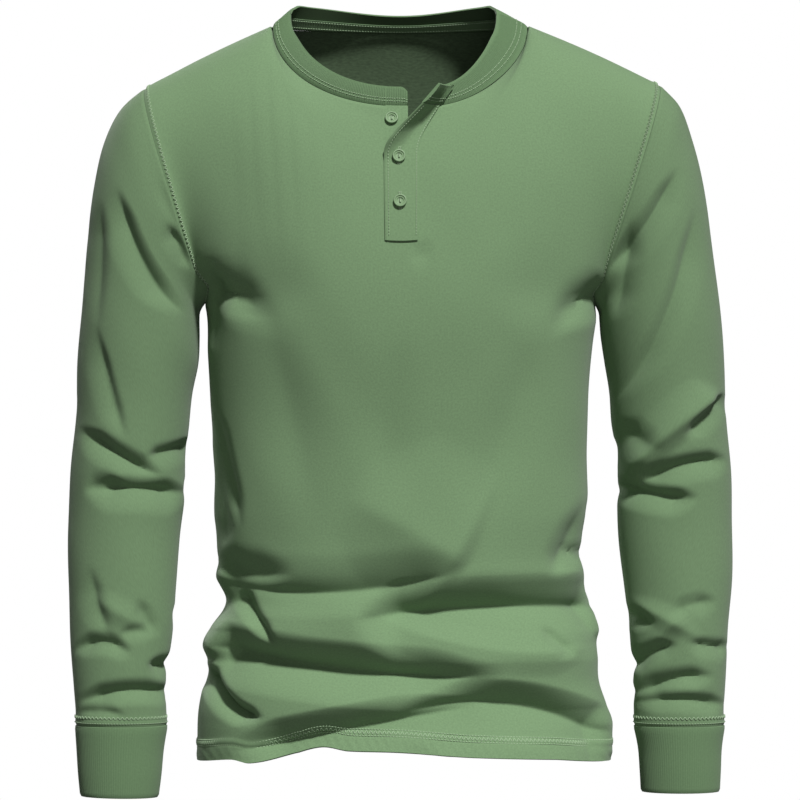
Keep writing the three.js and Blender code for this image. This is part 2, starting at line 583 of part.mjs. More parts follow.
// Row and column values shared by the panels
const armholeRows = snapped(spread(ARMHOLE_ROWS, 1, 2), rowAt(PLACKET.bottom)).toSpliced(-1, 0, TAPE_ROW);
const panelRows = [
  ...spread(HEM_ROWS, 0, WAIST_AT).slice(0, -1),
  ...spread(WAIST_ROWS, WAIST_AT, 1).slice(0, -1),
  ...armholeRows,
];
const placketColumns = {
  left: columnAt(PLACKET.left),
  standSeam: columnAt(PLACKET.left + SEAM_GAP),
  stand: columnAt(PLACKET.standEdge),
  panel: columnAt(PLACKET.panelEdge),
  right: columnAt(PLACKET.right),
};
const withSides = (middle) => [
  ...spread(SIDE_COLUMNS, -1, -NECK_SHARE).slice(0, -1),
  ...middle,
  ...spread(SIDE_COLUMNS, NECK_SHARE, 1).slice(1),
];
const frontColumns = [placketColumns.left, placketColumns.panel].reduce(
  snapped,
  withSides(spread(FRONT_NECK_COLUMNS, -NECK_SHARE, NECK_SHARE)),
);
const backColumns = withSides(spread(BACK_NECK_COLUMNS, -NECK_SHARE, NECK_SHARE));
const placketRows = armholeRows.filter((v) => v >= rowAt(PLACKET.bottom) - 1e-6);

// Front and back panels
const placketCell = (r, c) =>
  panelRows[r] >= placketRows[0] - 1e-6 &&
  frontColumns[c] >= placketColumns.left - 1e-6 &&
  frontColumns[c] < placketColumns.panel - 1e-6;
addWall(
  "front",
  gridOf(panelRows, frontColumns, (v, u) => panelPoint("front", u, v)),
  { hole: placketCell },
);
addWall(
  "back",
  gridOf(panelRows, backColumns, (v, u) => panelPoint("back", u, v)),
  { flip: true },
);

// Plackets: the button stand fills the slit's left side, and the buttonhole flap lies over it
const standColumns = spread(2, placketColumns.standSeam, placketColumns.stand);
const standRows = [rowAt(PLACKET.bottom + 2 * SEAM_GAP), ...placketRows.slice(1)];
const flapColumns = spread(3, placketColumns.right, placketColumns.left);
function flapPoint(u, v) {
  const p = panelBase("front", u, v);
  const raise = CLOTH + LAYER_GAP;
  return openFlap(p.addScaledVector(outOfTorso(p), raise), p.x - PLACKET.left);
}
const standPoint = (u, v) => {
  const p = panelBase("front", u, v);
  return p.addScaledVector(outOfTorso(p), -foldsAt(FRONT_FOLDS, p.x, p.z));
};
addWall(
  "placket_stand",
  gridOf(standRows, standColumns, (v, u) => standPoint(u, v)),
);
const flapRows = [rowAt(PLACKET.bottom - 3), ...placketRows.slice(1)];
addWall(
  "placket_flap",
  gridOf(flapRows, flapColumns, (v, u) => flapPoint(u, v)),
  { flip: true },
);

// Collar band: its lower edge follows stand, left front, back, right front and flap
function collarRise(p) {
  const side = clamp(Math.abs(p.x) / NECK_HALF_WIDTH);
  const middle = Math.sqrt(1 - side ** 2);
  const lean = p.y < SHOULDER_Y ? COLLAR_LEAN.front * middle : -COLLAR_LEAN.back * middle;
  const inward = (p.x < 0 ? COLLAR_LEAN.left : -COLLAR_LEAN.right) * side ** 1.5;
  const lift = COLLAR_BACK_LIFT * smooth(Math.abs(p.x) / 90) * smooth((p.y - SHOULDER_Y) / 12);
  const ear = COLLAR_EAR_DROP * Math.exp(-(((1 - side) / 0.05) ** 2));
  const low = p.y < SHOULDER_Y ? 0 : COLLAR_BACK_DROP * middle;
  return vec(inward, lean, COLLAR_RISE + lift - ear - low);
}
const topOf = (list, test) => list.filter(test).map((u) => [u, 2]);
const leftTop = topOf(frontColumns, (u) => u >= -NECK_SHARE && u <= placketColumns.left).reverse();
const rightTop = topOf(frontColumns, (u) => u > placketColumns.right && u <= NECK_SHARE).reverse();
const backTop = topOf(backColumns, (u) => Math.abs(u) < NECK_SHARE);
const TAPE_REACH = 0.46;
const collarEdge = [
  ...standColumns.slice(1).reverse().map((u) => ({ p: standPoint(u, 2), x: panelBase("front", u, 2).x })),
  ...leftTop.map(([u, v]) => ({ p: panelPoint("front", u, v), x: panelBase("front", u, v).x })),
  ...backTop.map(([u, v]) => ({
    p: panelPoint("back", u, v),
    x: panelBase("back", u, v).x,
    taped: Math.abs(u) < TAPE_REACH,
  })),
  ...rightTop.map(([u, v]) => ({ p: panelPoint("front", u, v), x: panelBase("front", u, v).x })),
  ...flapColumns.map((u) => ({ p: flapPoint(u, 2), x: panelBase("front", u, 2).x, flap: true })),
];
const COLLAR_CORNER = 10;
function collarPoint(edge, up) {
  const from = vec(edge.x, edge.p.y, edge.p.z);
  const rounding = !edge.flap && edge.x > 0 && edge.p.y < 0 && edge.x < COLLAR_CORNER;
  const height = rounding ? Math.sqrt(1 - (edge.x / COLLAR_CORNER) ** 2) : 1;
  const opens = edge.flap ? up * COLLAR_LEAN.flap : 0;
  return edge.p.clone().addScaledVector(collarRise(from), up * height).add(vec(opens, 0, 0));
}
addWall(
  "collar_band",
  gridOf([0, 0.5, 1], collarEdge, (up, edge) => collarPoint(edge, up)),
  { thick: RIB_CLOTH, flip: true },
);

// Sleeves and cuffs
const turns = [...armholeRows.map((v) => v - 1), ...armholeRows.slice(1, -1).map((v) => 3 - v).reverse()];
function addSleeve(side, table, folds, hiddenFolds, cuffTable) {
  const flip = side === "right";
  const alongs = spread(SLEEVE_ROWS).map((t) => mix(t, t ** 1.15, 0.6));
  const point = (along, turn) => sleevePoint(table, folds, hiddenFolds, along, turn);
  addWall(`sleeve_${side}`, gridOf(alongs, turns, point), { wrap: true, flip });
  addWall(
    `cuff_${side}`,
    gridOf(spread(CUFF_ROWS), turns, (along, turn) =>
      along === 0 ? point(1, turn) : tubePoint(cuffTable, along, turn),
    ),
    { wrap: true, flip, thick: RIB_CLOTH },
  );
}
addSleeve("left", SLEEVE_LEFT, SLEEVE_LEFT_FOLDS, mirrored(SLEEVE_RIGHT_FOLDS), CUFF_LEFT);
addSleeve("right", SLEEVE_RIGHT, SLEEVE_RIGHT_FOLDS, mirrored(SLEEVE_LEFT_FOLDS), CUFF_RIGHT);

// A button: a turned disc with a raised rim and a dished middle, and two sewing holes
function solidOf(geometry) {
  const bare = geometry.clone();
  bare.deleteAttribute("normal");
  bare.deleteAttribute("uv");
  const merged = mergeVertices(bare, 1e-4);
  const vertProperties = new Float32Array(merged.attributes.position.array);
  const triVerts = new Uint32Array(merged.index.array);
  return new wasm.Manifold(new wasm.Mesh({ numProp: 3, vertProperties, triVerts }));
}

function buttonGeometry() {
  const { radius, thick, rim, holeRadius, holeOffset } = BUTTON;
  const profile = [
    [0, 0],
    [radius - 0.8, 0],
    [radius, 0.8],
    [radius, thick - 0.6],
    [radius - 0.6, thick],
    [radius - rim, thick],
    [radius - rim - 0.9, thick - 0.9],
    [0, thick - 1],
  ].map(([x, y]) => new THREE.Vector2(x, y));
  const disc = new THREE.LatheGeometry(profile, 18);
  let solid = solidOf(disc);
  for (const place of [-holeOffset, holeOffset]) {
    const hole = new THREE.CylinderGeometry(holeRadius, holeRadius, 3 * thick, 8);
    hole.translate(0, 0, place);
    solid = solid.subtract(solidOf(hole));
  }
  const mesh = solid.getMesh();
  const geometry = new THREE.BufferGeometry();
  geometry.setAttribute("position", new THREE.Float32BufferAttribute(mesh.vertProperties, 3));
  geometry.setIndex([...mesh.triVerts]);
  return geometry;
}

// A place on the placket and its outward direction, for a button that sits on the stand or on the flap.
function buttonSeat({ x, z, over }) {
  const [u, v] = [columnAt(x), rowAt(z)];
  const on = over ? flapPoint : standPoint;
  const step = 0.01;
  const across = on(u + step, v).sub(on(u - step, v));
  const up = on(u, v + step).sub(on(u, v - step));
  return { place: on(u, v), out: across.cross(up).normalize() };
}

// The shirt
const shirt = new THREE.Group();
const material = (colour, roughness) => new THREE.MeshStandardMaterial({ color: colour, roughness });
const cloth = material(COLOURS.cloth, 0.9);
const rib = material(COLOURS.rib, 0.92);
const tape = material(COLOURS.tape, 0.9);
const buttonGloss = material(COLOURS.button, 0.35);
const finish = (name) => {
  if (name.startsWith("cuff") || name === "collar_band") return rib;
  return name === "neck_tape" ? tape : cloth;
};

const seams = seamDirections();

// Neck tape: a narrow strip on the inner face of the collar band, just above the back neck seam
const TAPE_SHARES = [0.12, 0.95];
const collar = walls.find((wall) => wall.name === "collar_band");
const collarInner = wallLayers(collar, seams).inner;
const tapeColumns = collarEdge.map((edge, c) => c).filter((c) => collarEdge[c].taped);
addWall(
  "neck_tape",
  gridOf(TAPE_SHARES, tapeColumns, (share, c) => {
    const p = collarInner[0][c].clone().lerp(collarInner[1][c], share);
    return p.addScaledVector(collar.normals[0][c], -LAYER_GAP);
  }),
  { thick: TAPE_CLOTH, flip: true },
);
walls.at(-1).normals = gridNormals(walls.at(-1));

for (const wall of walls) {
  const mesh = new THREE.Mesh(wallGeometry(wall, seams), finish(wall.name));
  mesh.name = wall.name;
  shirt.add(mesh);
}
for (const place of BUTTON_PLACES) {
  const seat = buttonSeat(place);
  const button = new THREE.Mesh(buttonGeometry(), buttonGloss);
  button.name = place.name;
  button.quaternion.setFromUnitVectors(vec(0, 1, 0), seat.out);
  button.position.copy(seat.place).addScaledVector(seat.out, LAYER_GAP + 0.25);
  shirt.add(button);
}

export default shirt;
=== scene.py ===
"""The looks of a long-sleeved henley shirt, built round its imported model.

The shapes are worked out in millimetres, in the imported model's frame. They are turned into metres when
a mesh is made.
"""

import math
from functools import partial

import bpy
import numpy as np
from mathutils import Matrix, Vector


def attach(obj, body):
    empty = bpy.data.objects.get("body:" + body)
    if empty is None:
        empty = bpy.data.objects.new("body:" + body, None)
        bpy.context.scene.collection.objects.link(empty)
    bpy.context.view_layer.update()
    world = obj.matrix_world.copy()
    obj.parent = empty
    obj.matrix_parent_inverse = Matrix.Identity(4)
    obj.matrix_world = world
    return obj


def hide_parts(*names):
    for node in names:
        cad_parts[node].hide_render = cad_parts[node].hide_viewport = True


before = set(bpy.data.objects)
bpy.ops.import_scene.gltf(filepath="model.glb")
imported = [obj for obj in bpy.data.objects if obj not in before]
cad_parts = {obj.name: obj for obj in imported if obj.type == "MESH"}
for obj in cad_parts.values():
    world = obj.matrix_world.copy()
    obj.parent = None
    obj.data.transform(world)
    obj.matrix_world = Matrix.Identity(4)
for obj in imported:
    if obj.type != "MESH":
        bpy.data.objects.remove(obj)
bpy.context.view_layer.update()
MM = 0.001

# Driving dimensions, most of them the solids' own. The jersey is a little thinner here, the buttons' rim
# and holes differ by a little, and the flap's edge rolls only here.
CLOTH = 1.3
PLACKET_CLOTH = 1.2
RIB_CLOTH = 2.0
TAPE_CLOTH = 0.9
NECK_HALF_WIDTH = 115
NECK_DROP = {"front": 77, "back": 1}
NECK_DEPTH = {"front": -75, "back": 61}
SHOULDER_Y = 6
SHOULDER_TIP = {-1: (-229, -57), 1: (233, -54)}
SHOULDER_TIP_Y = 2.0
CHEST_Z = -270.0
ARMPIT_Z = -248
HEM_Z = -660
ARMPIT_DIP = 46
ARMHOLE_BULGE = {"front": 58, "back": 66}
COLLAR_RISE = 17
COLLAR_LEAN = {"left": 16, "right": 28, "front": 4, "back": -12}
COLLAR_BACK_LIFT = 4.5
COLLAR_BACK_DROP = 3.0
COLLAR_EAR_DROP = 5
COLLAR_FLAP_LEAN = 14
COLLAR_CORNER = 10.0
COLLAR_RIB = 1.6
CUFF_RIBS = 110
TAPE_REACH = 0.46
TAPE_GAP = 0.5
PLACKET = {"left": -14.0, "right": 16.0, "bottom": -195.0, "stand": 8.0}
FLAP_OPEN = {"shift": 46, "lift": 23, "from": -121, "to": -56, "reach": 122}
FLAP_ROLL = {"lift": 9, "reach": 20, "from": -128, "to": -104}
FLAP_RAISE = 1.6
STAND_RAISE = -0.4
NECK_SHARE = 0.5
SECTION_POWER = 2.3
BUTTON = {"radius": 5.8, "thick": 2.7, "rim": 1.25, "well": 2.9, "hole": 0.9, "offset": 1.7}
BUTTON_GAP = 0.5
BUTTON_WELL_DEPTH = 1.8
BUTTONHOLE = {"below": 7.0, "above": 8.4, "pitch": 0.8, "half": 0.75, "slit": 13.0}
BUTTON_PLACES = [
    ("button_top", -8, -89, False),
    ("button_middle", -1, -123, True),
    ("button_bottom", 0, -163, True),
]


def table(names, *rows):
    """A table with named columns, as a dictionary of arrays."""
    return dict(zip(names.split(), np.array(rows, float).T))


TORSO = table(
    "z left right front back",
    (-200, -186, 186, 121, 110),
    (-248, -179, 179, 118, 107),
    (-284, -173.5, 173.5, 115, 102),
    (-330, -171, 169.5, 111, 97),
    (-384, -169, 168, 108, 93),
    (-440, -169.5, 169, 107, 93),
    (-478, -164.5, 163.5, 108, 96),
    (-499, -168.5, 168, 110, 99),
    (-521, -157.5, 181, 111, 101),
    (-543, -171, 183.5, 112, 103),
    (-557, -177.5, 179, 112, 104),
    (-571, -173, 178, 113, 104),
    (-590, -176, 179, 113, 105),
    (-612, -180.5, 186, 115, 107),
    (-628, -182, 191.5, 117, 109),
    (-660, -182, 189, 122, 113),
)
HEM = {
    "front": table(
        "x z",
        (-182, -660),
        (-150, -655),
        (-133, -657),
        (-96, -647),
        (-74, -642),
        (-50, -645),
        (0, -646),
        (61, -650),
        (140, -654),
        (189, -660),
    ),
    "back": table("x z", (-182, -660), (-90, -655), (10, -650), (110, -656), (189, -660)),
}
SLEEVE_COLUMNS = "ox oz ix iz y half"
SLEEVE = {
    -1: table(
        SLEEVE_COLUMNS,
        (-229, -57, -179, -248, 4, 62),
        (-252, -78, -180, -255, 2, 62),
        (-267, -108, -180.5, -266, 0, 61),
        (-275, -145, -180.5, -282, -2, 60),
        (-281, -195, -181.5, -305, -4, 59),
        (-285, -250, -186, -331, -6, 57),
        (-290, -305, -189, -359, -7, 55),
        (-291, -355, -193, -392, -9, 53),
        (-296, -405, -193, -425, -12, 50),
        (-297, -450, -197.5, -462, -16, 47),
        (-296, -500, -201, -505, -22, 44),
        (-295, -545, -203.5, -547, -28, 41),
        (-291.5, -590, -209, -591, -33, 37),
        (-289, -627, -208, -627, -36, 33),
    ),
    1: table(
        SLEEVE_COLUMNS,
        (233, -54, 179, -248, 4, 62),
        (252, -74, 179.5, -255, 2, 62),
        (264, -106, 180, -266, 0, 61),
        (272.5, -142, 181, -282, -2, 60),
        (280, -195, 184, -305, -4, 59),
        (287, -250, 188, -331, -6, 57),
        (291, -305, 190, -359, -7, 55),
        (293, -355, 195, -392, -9, 53),
        (297, -405, 194.5, -425, -12, 50),
        (297, -450, 195.5, -462, -16, 47),
        (296.5, -500, 200, -505, -22, 44),
        (293, -545, 205, -547, -28, 41),
        (290.5, -590, 208, -591, -33, 37),
        (289, -627, 209, -627, -36, 33),
    ),
}
CUFF = {
    -1: table(
        SLEEVE_COLUMNS,
        (-289, -627, -208, -627, -36, 33),
        (-287.5, -648, -211.5, -649, -37.5, 31),
        (-286, -670, -213.5, -671, -39, 29),
        (-284, -690, -216, -691, -40, 27),
    ),
    1: table(
        SLEEVE_COLUMNS,
        (289, -627, 209, -627, -36, 33),
        (286, -647, 213, -647, -37.5, 31),
        (285, -667, 214.5, -667, -39, 29),
        (284, -686, 215.5, -686, -40, 27),
    ),
}

# Folds, seen from the front: each runs from (x0, z0) to (x1, z1), bowed to its left. It is deepest
# along that line, and a ridge has a negative depth. Its wall on the left of the line is `up` wide, and
# the one on the right `down` wide. It fades in over a share of its length, fade0, and out over fade1,
# and its crease is rounded off to `soft`.
# A power of 1 gives straight walls, and 2 walls that ease in from the cloth round them.
FOLD_COLUMNS = "x0 z0 x1 z1 bow up down depth fade0 fade1 soft power"
FRONT_FOLDS = table(
    FOLD_COLUMNS,
    (-174, -556, 96, -581, -7, 26, 32, 23, 0.08, 0.3, 1.0, 1.5),
    (-44, -531, 193, -524, 7, 30, 46, 27, 0.2, 0.06, 2.0, 1.5),
    (-152, -649, 79, -606, 3, 22, 51, 20, 0.22, 0.35, 0.8, 1.25),
    (-7, -615, 194, -637, 22, 21, 51, 20, 0.35, 0.1, 0.8, 1.25),
    (-172, -499, 67, -483, -15, 33, 23, 13, 0.08, 0.25, 1.2, 1.7),
    (-169, -485, -91, -488, -4, 23, 11, 7, 0.25, 0.5, 3, 1.5),
    (-54, -420, 61, -486, 4, 84, 58, -9, 0.45, 0.15, 4, 1.35),
    (-152, -505, -112, -555, 2, 10, 9, 9, 0.2, 0.3, 0.6, 1.4),
    (-174, -574, -120, -619, -11, 11, 14, 14, 0.15, 0.25, 0.7, 1.4),
    (169, -422, 134, -494, 2, 19, 18, 7, 0.5, 0.25, 2, 1.6),
    (130, -536, 156, -565, 0, 9, 14, 5, 0.4, 0.3, 0.8, 1.5),
    (176, -480, 141, -468, 0, 11, 11, 5, 0.2, 0.5, 1, 1.5),
    (-169, -338, -141, -454, 0, 11, 12, 5, 0.3, 0.3, 1.5, 1.6),
    (-194, -230, -102, -273, 4, 28, 16, 12, 0.2, 0.6, 1.5, 1.5),
    (189, -237, 130, -278, -3, 19, 23, 12, 0.15, 0.6, 1.5, 1.5),
    (-176, -215, -166, -298, 0, 18, 19, 9, 0.25, 0.5, 2, 1.4),
    (-169, -373, -157, -479, 0, 19, 23, 7, 0.4, 0.3, 3, 1.5),
    (-33, -521, 178, -557, -16, 16, 21, -5, 0.2, 0.2, 2, 1.5),
    (5, -211, 33, -208, 0, 6, 9, 3, 0.4, 0.4, 1, 1.5),
    (-165, -242, -61, -232, -7, 53, 35, 4, 0.3, 0.6, 14, 2),
    (169, -238, 61, -232, 7, 35, 53, 4, 0.3, 0.6, 14, 2),
    (-121, -250, -74, -451, 0, 35, 40, 4, 0.5, 0.5, 10, 2),
    (123, -276, 61, -460, 0, 40, 35, 4, 0.5, 0.5, 10, 2),
    (0, -276, -24, -442, 0, 32, 32, 3, 0.5, 0.5, 10, 2),
)
BACK_FOLDS = table(
    FOLD_COLUMNS,
    (-174, -558, 128, -576, -7, 26, 38, 17, 0.08, 0.4, 1.2, 1.6),
    (-150, -624, 60, -600, 4, 17, 52, 14, 0.3, 0.35, 1.0, 1.25),
    (-20, -608, 188, -622, 20, 17, 52, 14, 0.35, 0.1, 1.0, 1.25),
    (-60, -512, 186, -524, -6, 30, 34, 18, 0.35, 0.1, 1.2, 1.6),
    (-178, -500, 20, -486, -13, 32, 22, 13, 0.08, 0.3, 1.2, 1.7),
    (-190, -184, -96, -300, 0, 30, 30, 12, 0.4, 0.35, 2, 1.6),
    (188, -182, 98, -290, 0, 30, 30, 12, 0.4, 0.35, 2, 1.6),
    (8, -120, -6, -460, 0, 50, 50, 7, 0.5, 0.5, 10, 2),
    (-110, -250, -70, -450, 0, 40, 40, 4, 0.5, 0.5, 10, 2),
    (176, -420, 128, -500, 2, 18, 20, 7, 0.4, 0.25, 2, 1.6),
    (-150, -520, -112, -566, 2, 11, 11, 7, 0.2, 0.4, 0.8, 1.5),
)
SLEEVE_FOLDS = {
    -1: table(
        FOLD_COLUMNS,
        (-252, -147, -190, -263, -11, 11, 23, 8.4, 0.28, 0.3, 1, 1.6),
        (-210, -183, -183, -220, 4, 8, 16, 5.9, 0.3, 0.3, 1, 1.6),
        (-215, -142, -185, -181, 2, 8, 16, 4.2, 0.4, 0.3, 1, 1.6),
        (-272, -266, -242, -375, -3, 8, 18, 5.1, 0.4, 0.3, 1, 1.6),
        (-267, -156, -270, -284, 0, 11, 16, 4.2, 0.3, 0.5, 1, 1.6),
        (-288, -362, -208, -407, -2, 12, 18, 9.3, 0.28, 0.3, 1, 1.6),
        (-281, -418, -189, -421, 4, 12, 23, 10.1, 0.28, 0.2, 1, 1.6),
        (-281, -419, -242, -414, 7, 11, 13, 4.2, 0.28, 0.4, 1, 1.6),
        (-226, -388, -183, -377, 0, 9, 16, 5.9, 0.3, 0.2, 1, 1.6),
        (-275, -482, -255, -551, -4, 11, 18, 4.2, 0.4, 0.4, 1, 1.6),
        (-233, -512, -214, -549, 0, 8, 16, 4.2, 0.4, 0.4, 1, 1.6),
        (-251, -546, -217, -546, 4, 8, 11, 3.4, 0.4, 0.4, 1, 1.6),
        (-292, -560, -235, -564, 10, 11, 13, 6.7, 0.28, 0.3, 1, 1.6),
        (-226, -571, -192, -581, 2, 11, 16, 7.6, 0.4, 0.2, 1, 1.6),
        (-288, -606, -198, -599, 8, 11, 14, 8.4, 0.28, 0.2, 1, 1.6),
        (-287, -615, -240, -619, 4, 8, 11, 3.4, 0.28, 0.4, 1, 1.6),
        (-276, -508, -219, -539, -3, 14, 12, -3, 0.4, 0.4, 2, 1.5),
    ),
    1: table(
        FOLD_COLUMNS,
        (178, -225, 249, -129, -6, 11, 21, 7.6, 0.28, 0.3, 1, 1.6),
        (190, -341, 264, -160, -13, 11, 22, 6.7, 0.3, 0.3, 1, 1.6),
        (192, -268, 205, -172, 0, 11, 19, 5.9, 0.3, 0.4, 1.5, 1.6),
        (198, -409, 287, -329, 4, 26, 14, -8, 0.25, 0.15, 2, 1.6),
        (251, -370, 292, -332, 0, 8, 16, 6.7, 0.3, 0.2, 1, 1.6),
        (206, -414, 294, -391, 7, 11, 18, 9.3, 0.28, 0.2, 1, 1.6),
        (183, -410, 267, -425, -4, 11, 18, 10.1, 0.28, 0.3, 1, 1.6),
        (192, -355, 235, -384, -3, 17, 21, 5.1, 0.4, 0.4, 2, 1.6),
        (238, -529, 283, -516, 4, 11, 14, 5.1, 0.3, 0.35, 1, 1.6),
        (190, -524, 228, -536, 0, 8, 13, 5.1, 0.28, 0.4, 1, 1.6),
        (201, -580, 249, -554, 7, 11, 13, 6.7, 0.28, 0.35, 1, 1.6),
        (253, -552, 294, -558, 0, 8, 14, 5.9, 0.4, 0.2, 1, 1.6),
        (206, -599, 281, -583, 7, 11, 13, 7.6, 0.28, 0.3, 1, 1.6),
        (206, -606, 292, -609, 5, 9, 13, 6.7, 0.3, 0.2, 1, 1.6),
        (201, -512, 271, -551, 0, 12, 12, -4, 0.4, 0.4, 1.5, 1.5),
        (271, -508, 214, -562, 0, 11, 11, -3, 0.4, 0.4, 1.5, 1.5),
    ),
}
HIDDEN_SIDE_SHARE = 0.8


def clamp(t, low=0.0, high=1.0):
    return np.minimum(np.maximum(t, low), high)


def smooth(t):
    t = clamp(t)
    return t * t * (3 - 2 * t)


def mix(a, b, t):
    return a + (b - a) * t


def vec(x, y, z):
    return np.stack(np.broadcast_arrays(x, y, z), axis=-1).astype(float)


def unit(v):
    return v / np.maximum(np.linalg.norm(v, axis=-1, keepdims=True), 1e-9)


def curve_through(values, at):
    """The value of a column at a place along its table, on a smooth curve through the rows."""
    ends = [2 * values[0] - values[1], 2 * values[-1] - values[-2]]
    padded = np.concatenate([ends[:1], values, ends[1:]])
    last = len(values) - 1
    at = clamp(at, 0, last)
    k = np.minimum(at.astype(int), last - 1)
    t = at - k
    before, a, b, after = (padded[k + step] for step in range(4))
    square = 2 * before - 5 * a + 4 * b - after
    cube = 3 * a - before - 3 * b + after
    return 0.5 * (2 * a + (b - before) * t + square * t**2 + cube * t**3)


def place_of(rows, key, value):
    """The place along a table where its key column has a value."""
    column = rows[key]
    steps = np.arange(len(column), dtype=float)
    if column[-1] < column[0]:
        return np.interp(value, column[::-1], steps[::-1])
    return np.interp(value, column, steps)


def folds_at(folds, x, z):
    """How far the folds press the cloth in, at places seen from the front."""
    press = np.zeros(np.shape(x))
    for row in zip(*(folds[name] for name in FOLD_COLUMNS.split())):
        x0, z0, x1, z1, bow, up, down, depth, fade0, fade1, soft, power = row
        dx, dz = x1 - x0, z1 - z0
        length = math.hypot(dx, dz)
        t = clamp(((x - x0) * dx + (z - z0) * dz) / length**2)
        off = ((z - z0) * dx - (x - x0) * dz) / length - bow * 4 * t * (1 - t)
        off = np.sign(off) * (np.sqrt(off**2 + soft**2) - soft)
        fade = smooth(t / fade0) * smooth((1 - t) / fade1)
        width = np.where(off > 0, up, down) * (0.45 + 0.55 * fade)
        q = clamp(1 - np.abs(off) / width)
        press += depth * fade * q**power
    return press


def mirrored(folds):
    """The folds of the other sleeve, mirrored and a little softer, for a sleeve's hidden side."""
    other = dict(folds)
    other["x0"], other["x1"], other["bow"] = -folds["x0"], -folds["x1"], -folds["bow"]
    other["up"], other["down"] = folds["down"], folds["up"]
    other["depth"] = folds["depth"] * HIDDEN_SIDE_SHARE
    return other


def section_point(side, u, z):
    """A point of the torso's section at height z. u is -1 at the left side seam and 1 at the right one."""
    at = place_of(TORSO, "z", z)
    left, right = curve_through(TORSO["left"], at), curve_through(TORSO["right"], at)
    depth = curve_through(TORSO[side], at)
    half = (right - left) / 2
    s, c = np.sin(u * np.pi / 2), np.cos(u * np.pi / 2)
    n = SECTION_POWER
    reach = ((np.abs(s) / half) ** n + (np.abs(c) / depth) ** n) ** (-1 / n)
    turn = -1 if side == "front" else 1
    return vec((left + right) / 2 + reach * s, turn * reach * c, z)


def top_edge(side, u):
    """The top edge of a panel: its neckline in the middle and its shoulder seams outside."""
    across = np.abs(u)
    out = np.sign(u)
    share = clamp(across / NECK_SHARE)
    chest = np.full(np.shape(u), CHEST_Z)
    x = np.abs(section_point(side, u, chest)[..., 0])
    reach = mix(x, NECK_HALF_WIDTH * np.sin(share * np.pi / 2), share**2)
    rounding = np.sqrt(clamp(1 - (reach / NECK_HALF_WIDTH) ** 2))
    neck = vec(out * reach, SHOULDER_Y + NECK_DEPTH[side] * rounding, -NECK_DROP[side] * rounding)
    along = clamp((across - NECK_SHARE) / (1 - NECK_SHARE))
    tip_x = np.where(u < 0, SHOULDER_TIP[-1][0], SHOULDER_TIP[1][0])
    tip_z = np.where(u < 0, SHOULDER_TIP[-1][1], SHOULDER_TIP[1][1])
    seam = vec(
        mix(out * NECK_HALF_WIDTH, tip_x, along),
        mix(SHOULDER_Y, SHOULDER_TIP_Y, along),
        tip_z * along + 2 * np.sin(np.pi * along),
    )
    return np.where((across <= NECK_SHARE)[..., None], neck, seam)


def panel_raw(side, u, v):
    """The panel before it is smoothed: v is 0 at the hem, 1 at the underarm and 2 at the top edge."""
    turn = -1 if side == "front" else 1
    inside = 1 - np.abs(u) ** 3
    low = clamp(v, 0, 1)
    z = mix(HEM_Z, ARMPIT_Z, low)
    hem_x = section_point(side, u, np.full(np.shape(u), float(HEM_Z)))[..., 0]
    lift = curve_through(HEM[side]["z"], place_of(HEM[side], "x", hem_x)) - HEM_Z
    lower = section_point(side, u, z + lift * (1 - low) ** 8 - ARMPIT_DIP * inside * low**2)
    w = clamp(v - 1)[..., None]
    z = ARMPIT_Z - ARMPIT_DIP * inside
    start, end = section_point(side, u, z), top_edge(side, u)
    span = np.linalg.norm(end - start, axis=-1)[..., None]
    to_arm = (np.abs(u) ** 8)[..., None]
    rise = section_point(side, u, z + 6) - section_point(side, u, z - 6)
    bulge = ARMHOLE_BULGE[side] * 4
    out = np.sign(u)
    leave = mix(rise * 1.05 * span / 12, vec(-30 * out, turn * bulge, 0), to_arm)
    share = (clamp(np.abs(u) / NECK_SHARE) ** 2)[..., None]
    at_neck = mix(vec(0, turn * -80, 170), vec(0, turn * -230, 20), share)
    arrive = mix(at_neck, vec(-35 * out, turn * -bulge, 0), to_arm)
    upper = (
        start * (2 * w**3 - 3 * w**2 + 1)
        + leave * (w**3 - 2 * w**2 + w)
        + end * (3 * w**2 - 2 * w**3)
        + arrive * (w**3 - w**2)
    )
    return np.where((v <= 1)[..., None], lower, upper)


def panel_base(side, u, v):
    """The smooth panel, without folds. The upper chest and back are evened out across."""
    u, v = np.broadcast_arrays(np.asarray(u, float), np.asarray(v, float))
    step = 0.078 * clamp((1 - np.abs(u)) / 0.32) * smooth((v - 1) / 0.35) * smooth((2 - v) / 0.3)
    shares = (1, 8, 28, 56, 70, 56, 28, 8, 1)
    total = sum(share * panel_raw(side, u + (k - 4) * step, v) for k, share in enumerate(shares))
    return total / sum(shares)


def out_of_torso(p):
    """The level direction that points out of the torso, from a place on it."""
    return unit(vec(p[..., 0] / 175**2, p[..., 1] / 110**2, 0))


def open_flap(p, from_edge):
    """The open top of the placket: cloth right of its free edge swings right and forward."""
    opening = smooth((p[..., 2] - FLAP_OPEN["from"]) / (FLAP_OPEN["to"] - FLAP_OPEN["from"]))
    width = PLACKET["right"] - PLACKET["left"]
    swing = clamp(1 - from_edge / FLAP_OPEN["reach"]) ** 2
    lift = clamp(1 - from_edge / width) ** 1.2
    return p + vec(FLAP_OPEN["shift"] * opening * swing, -FLAP_OPEN["lift"] * opening * lift, 0)


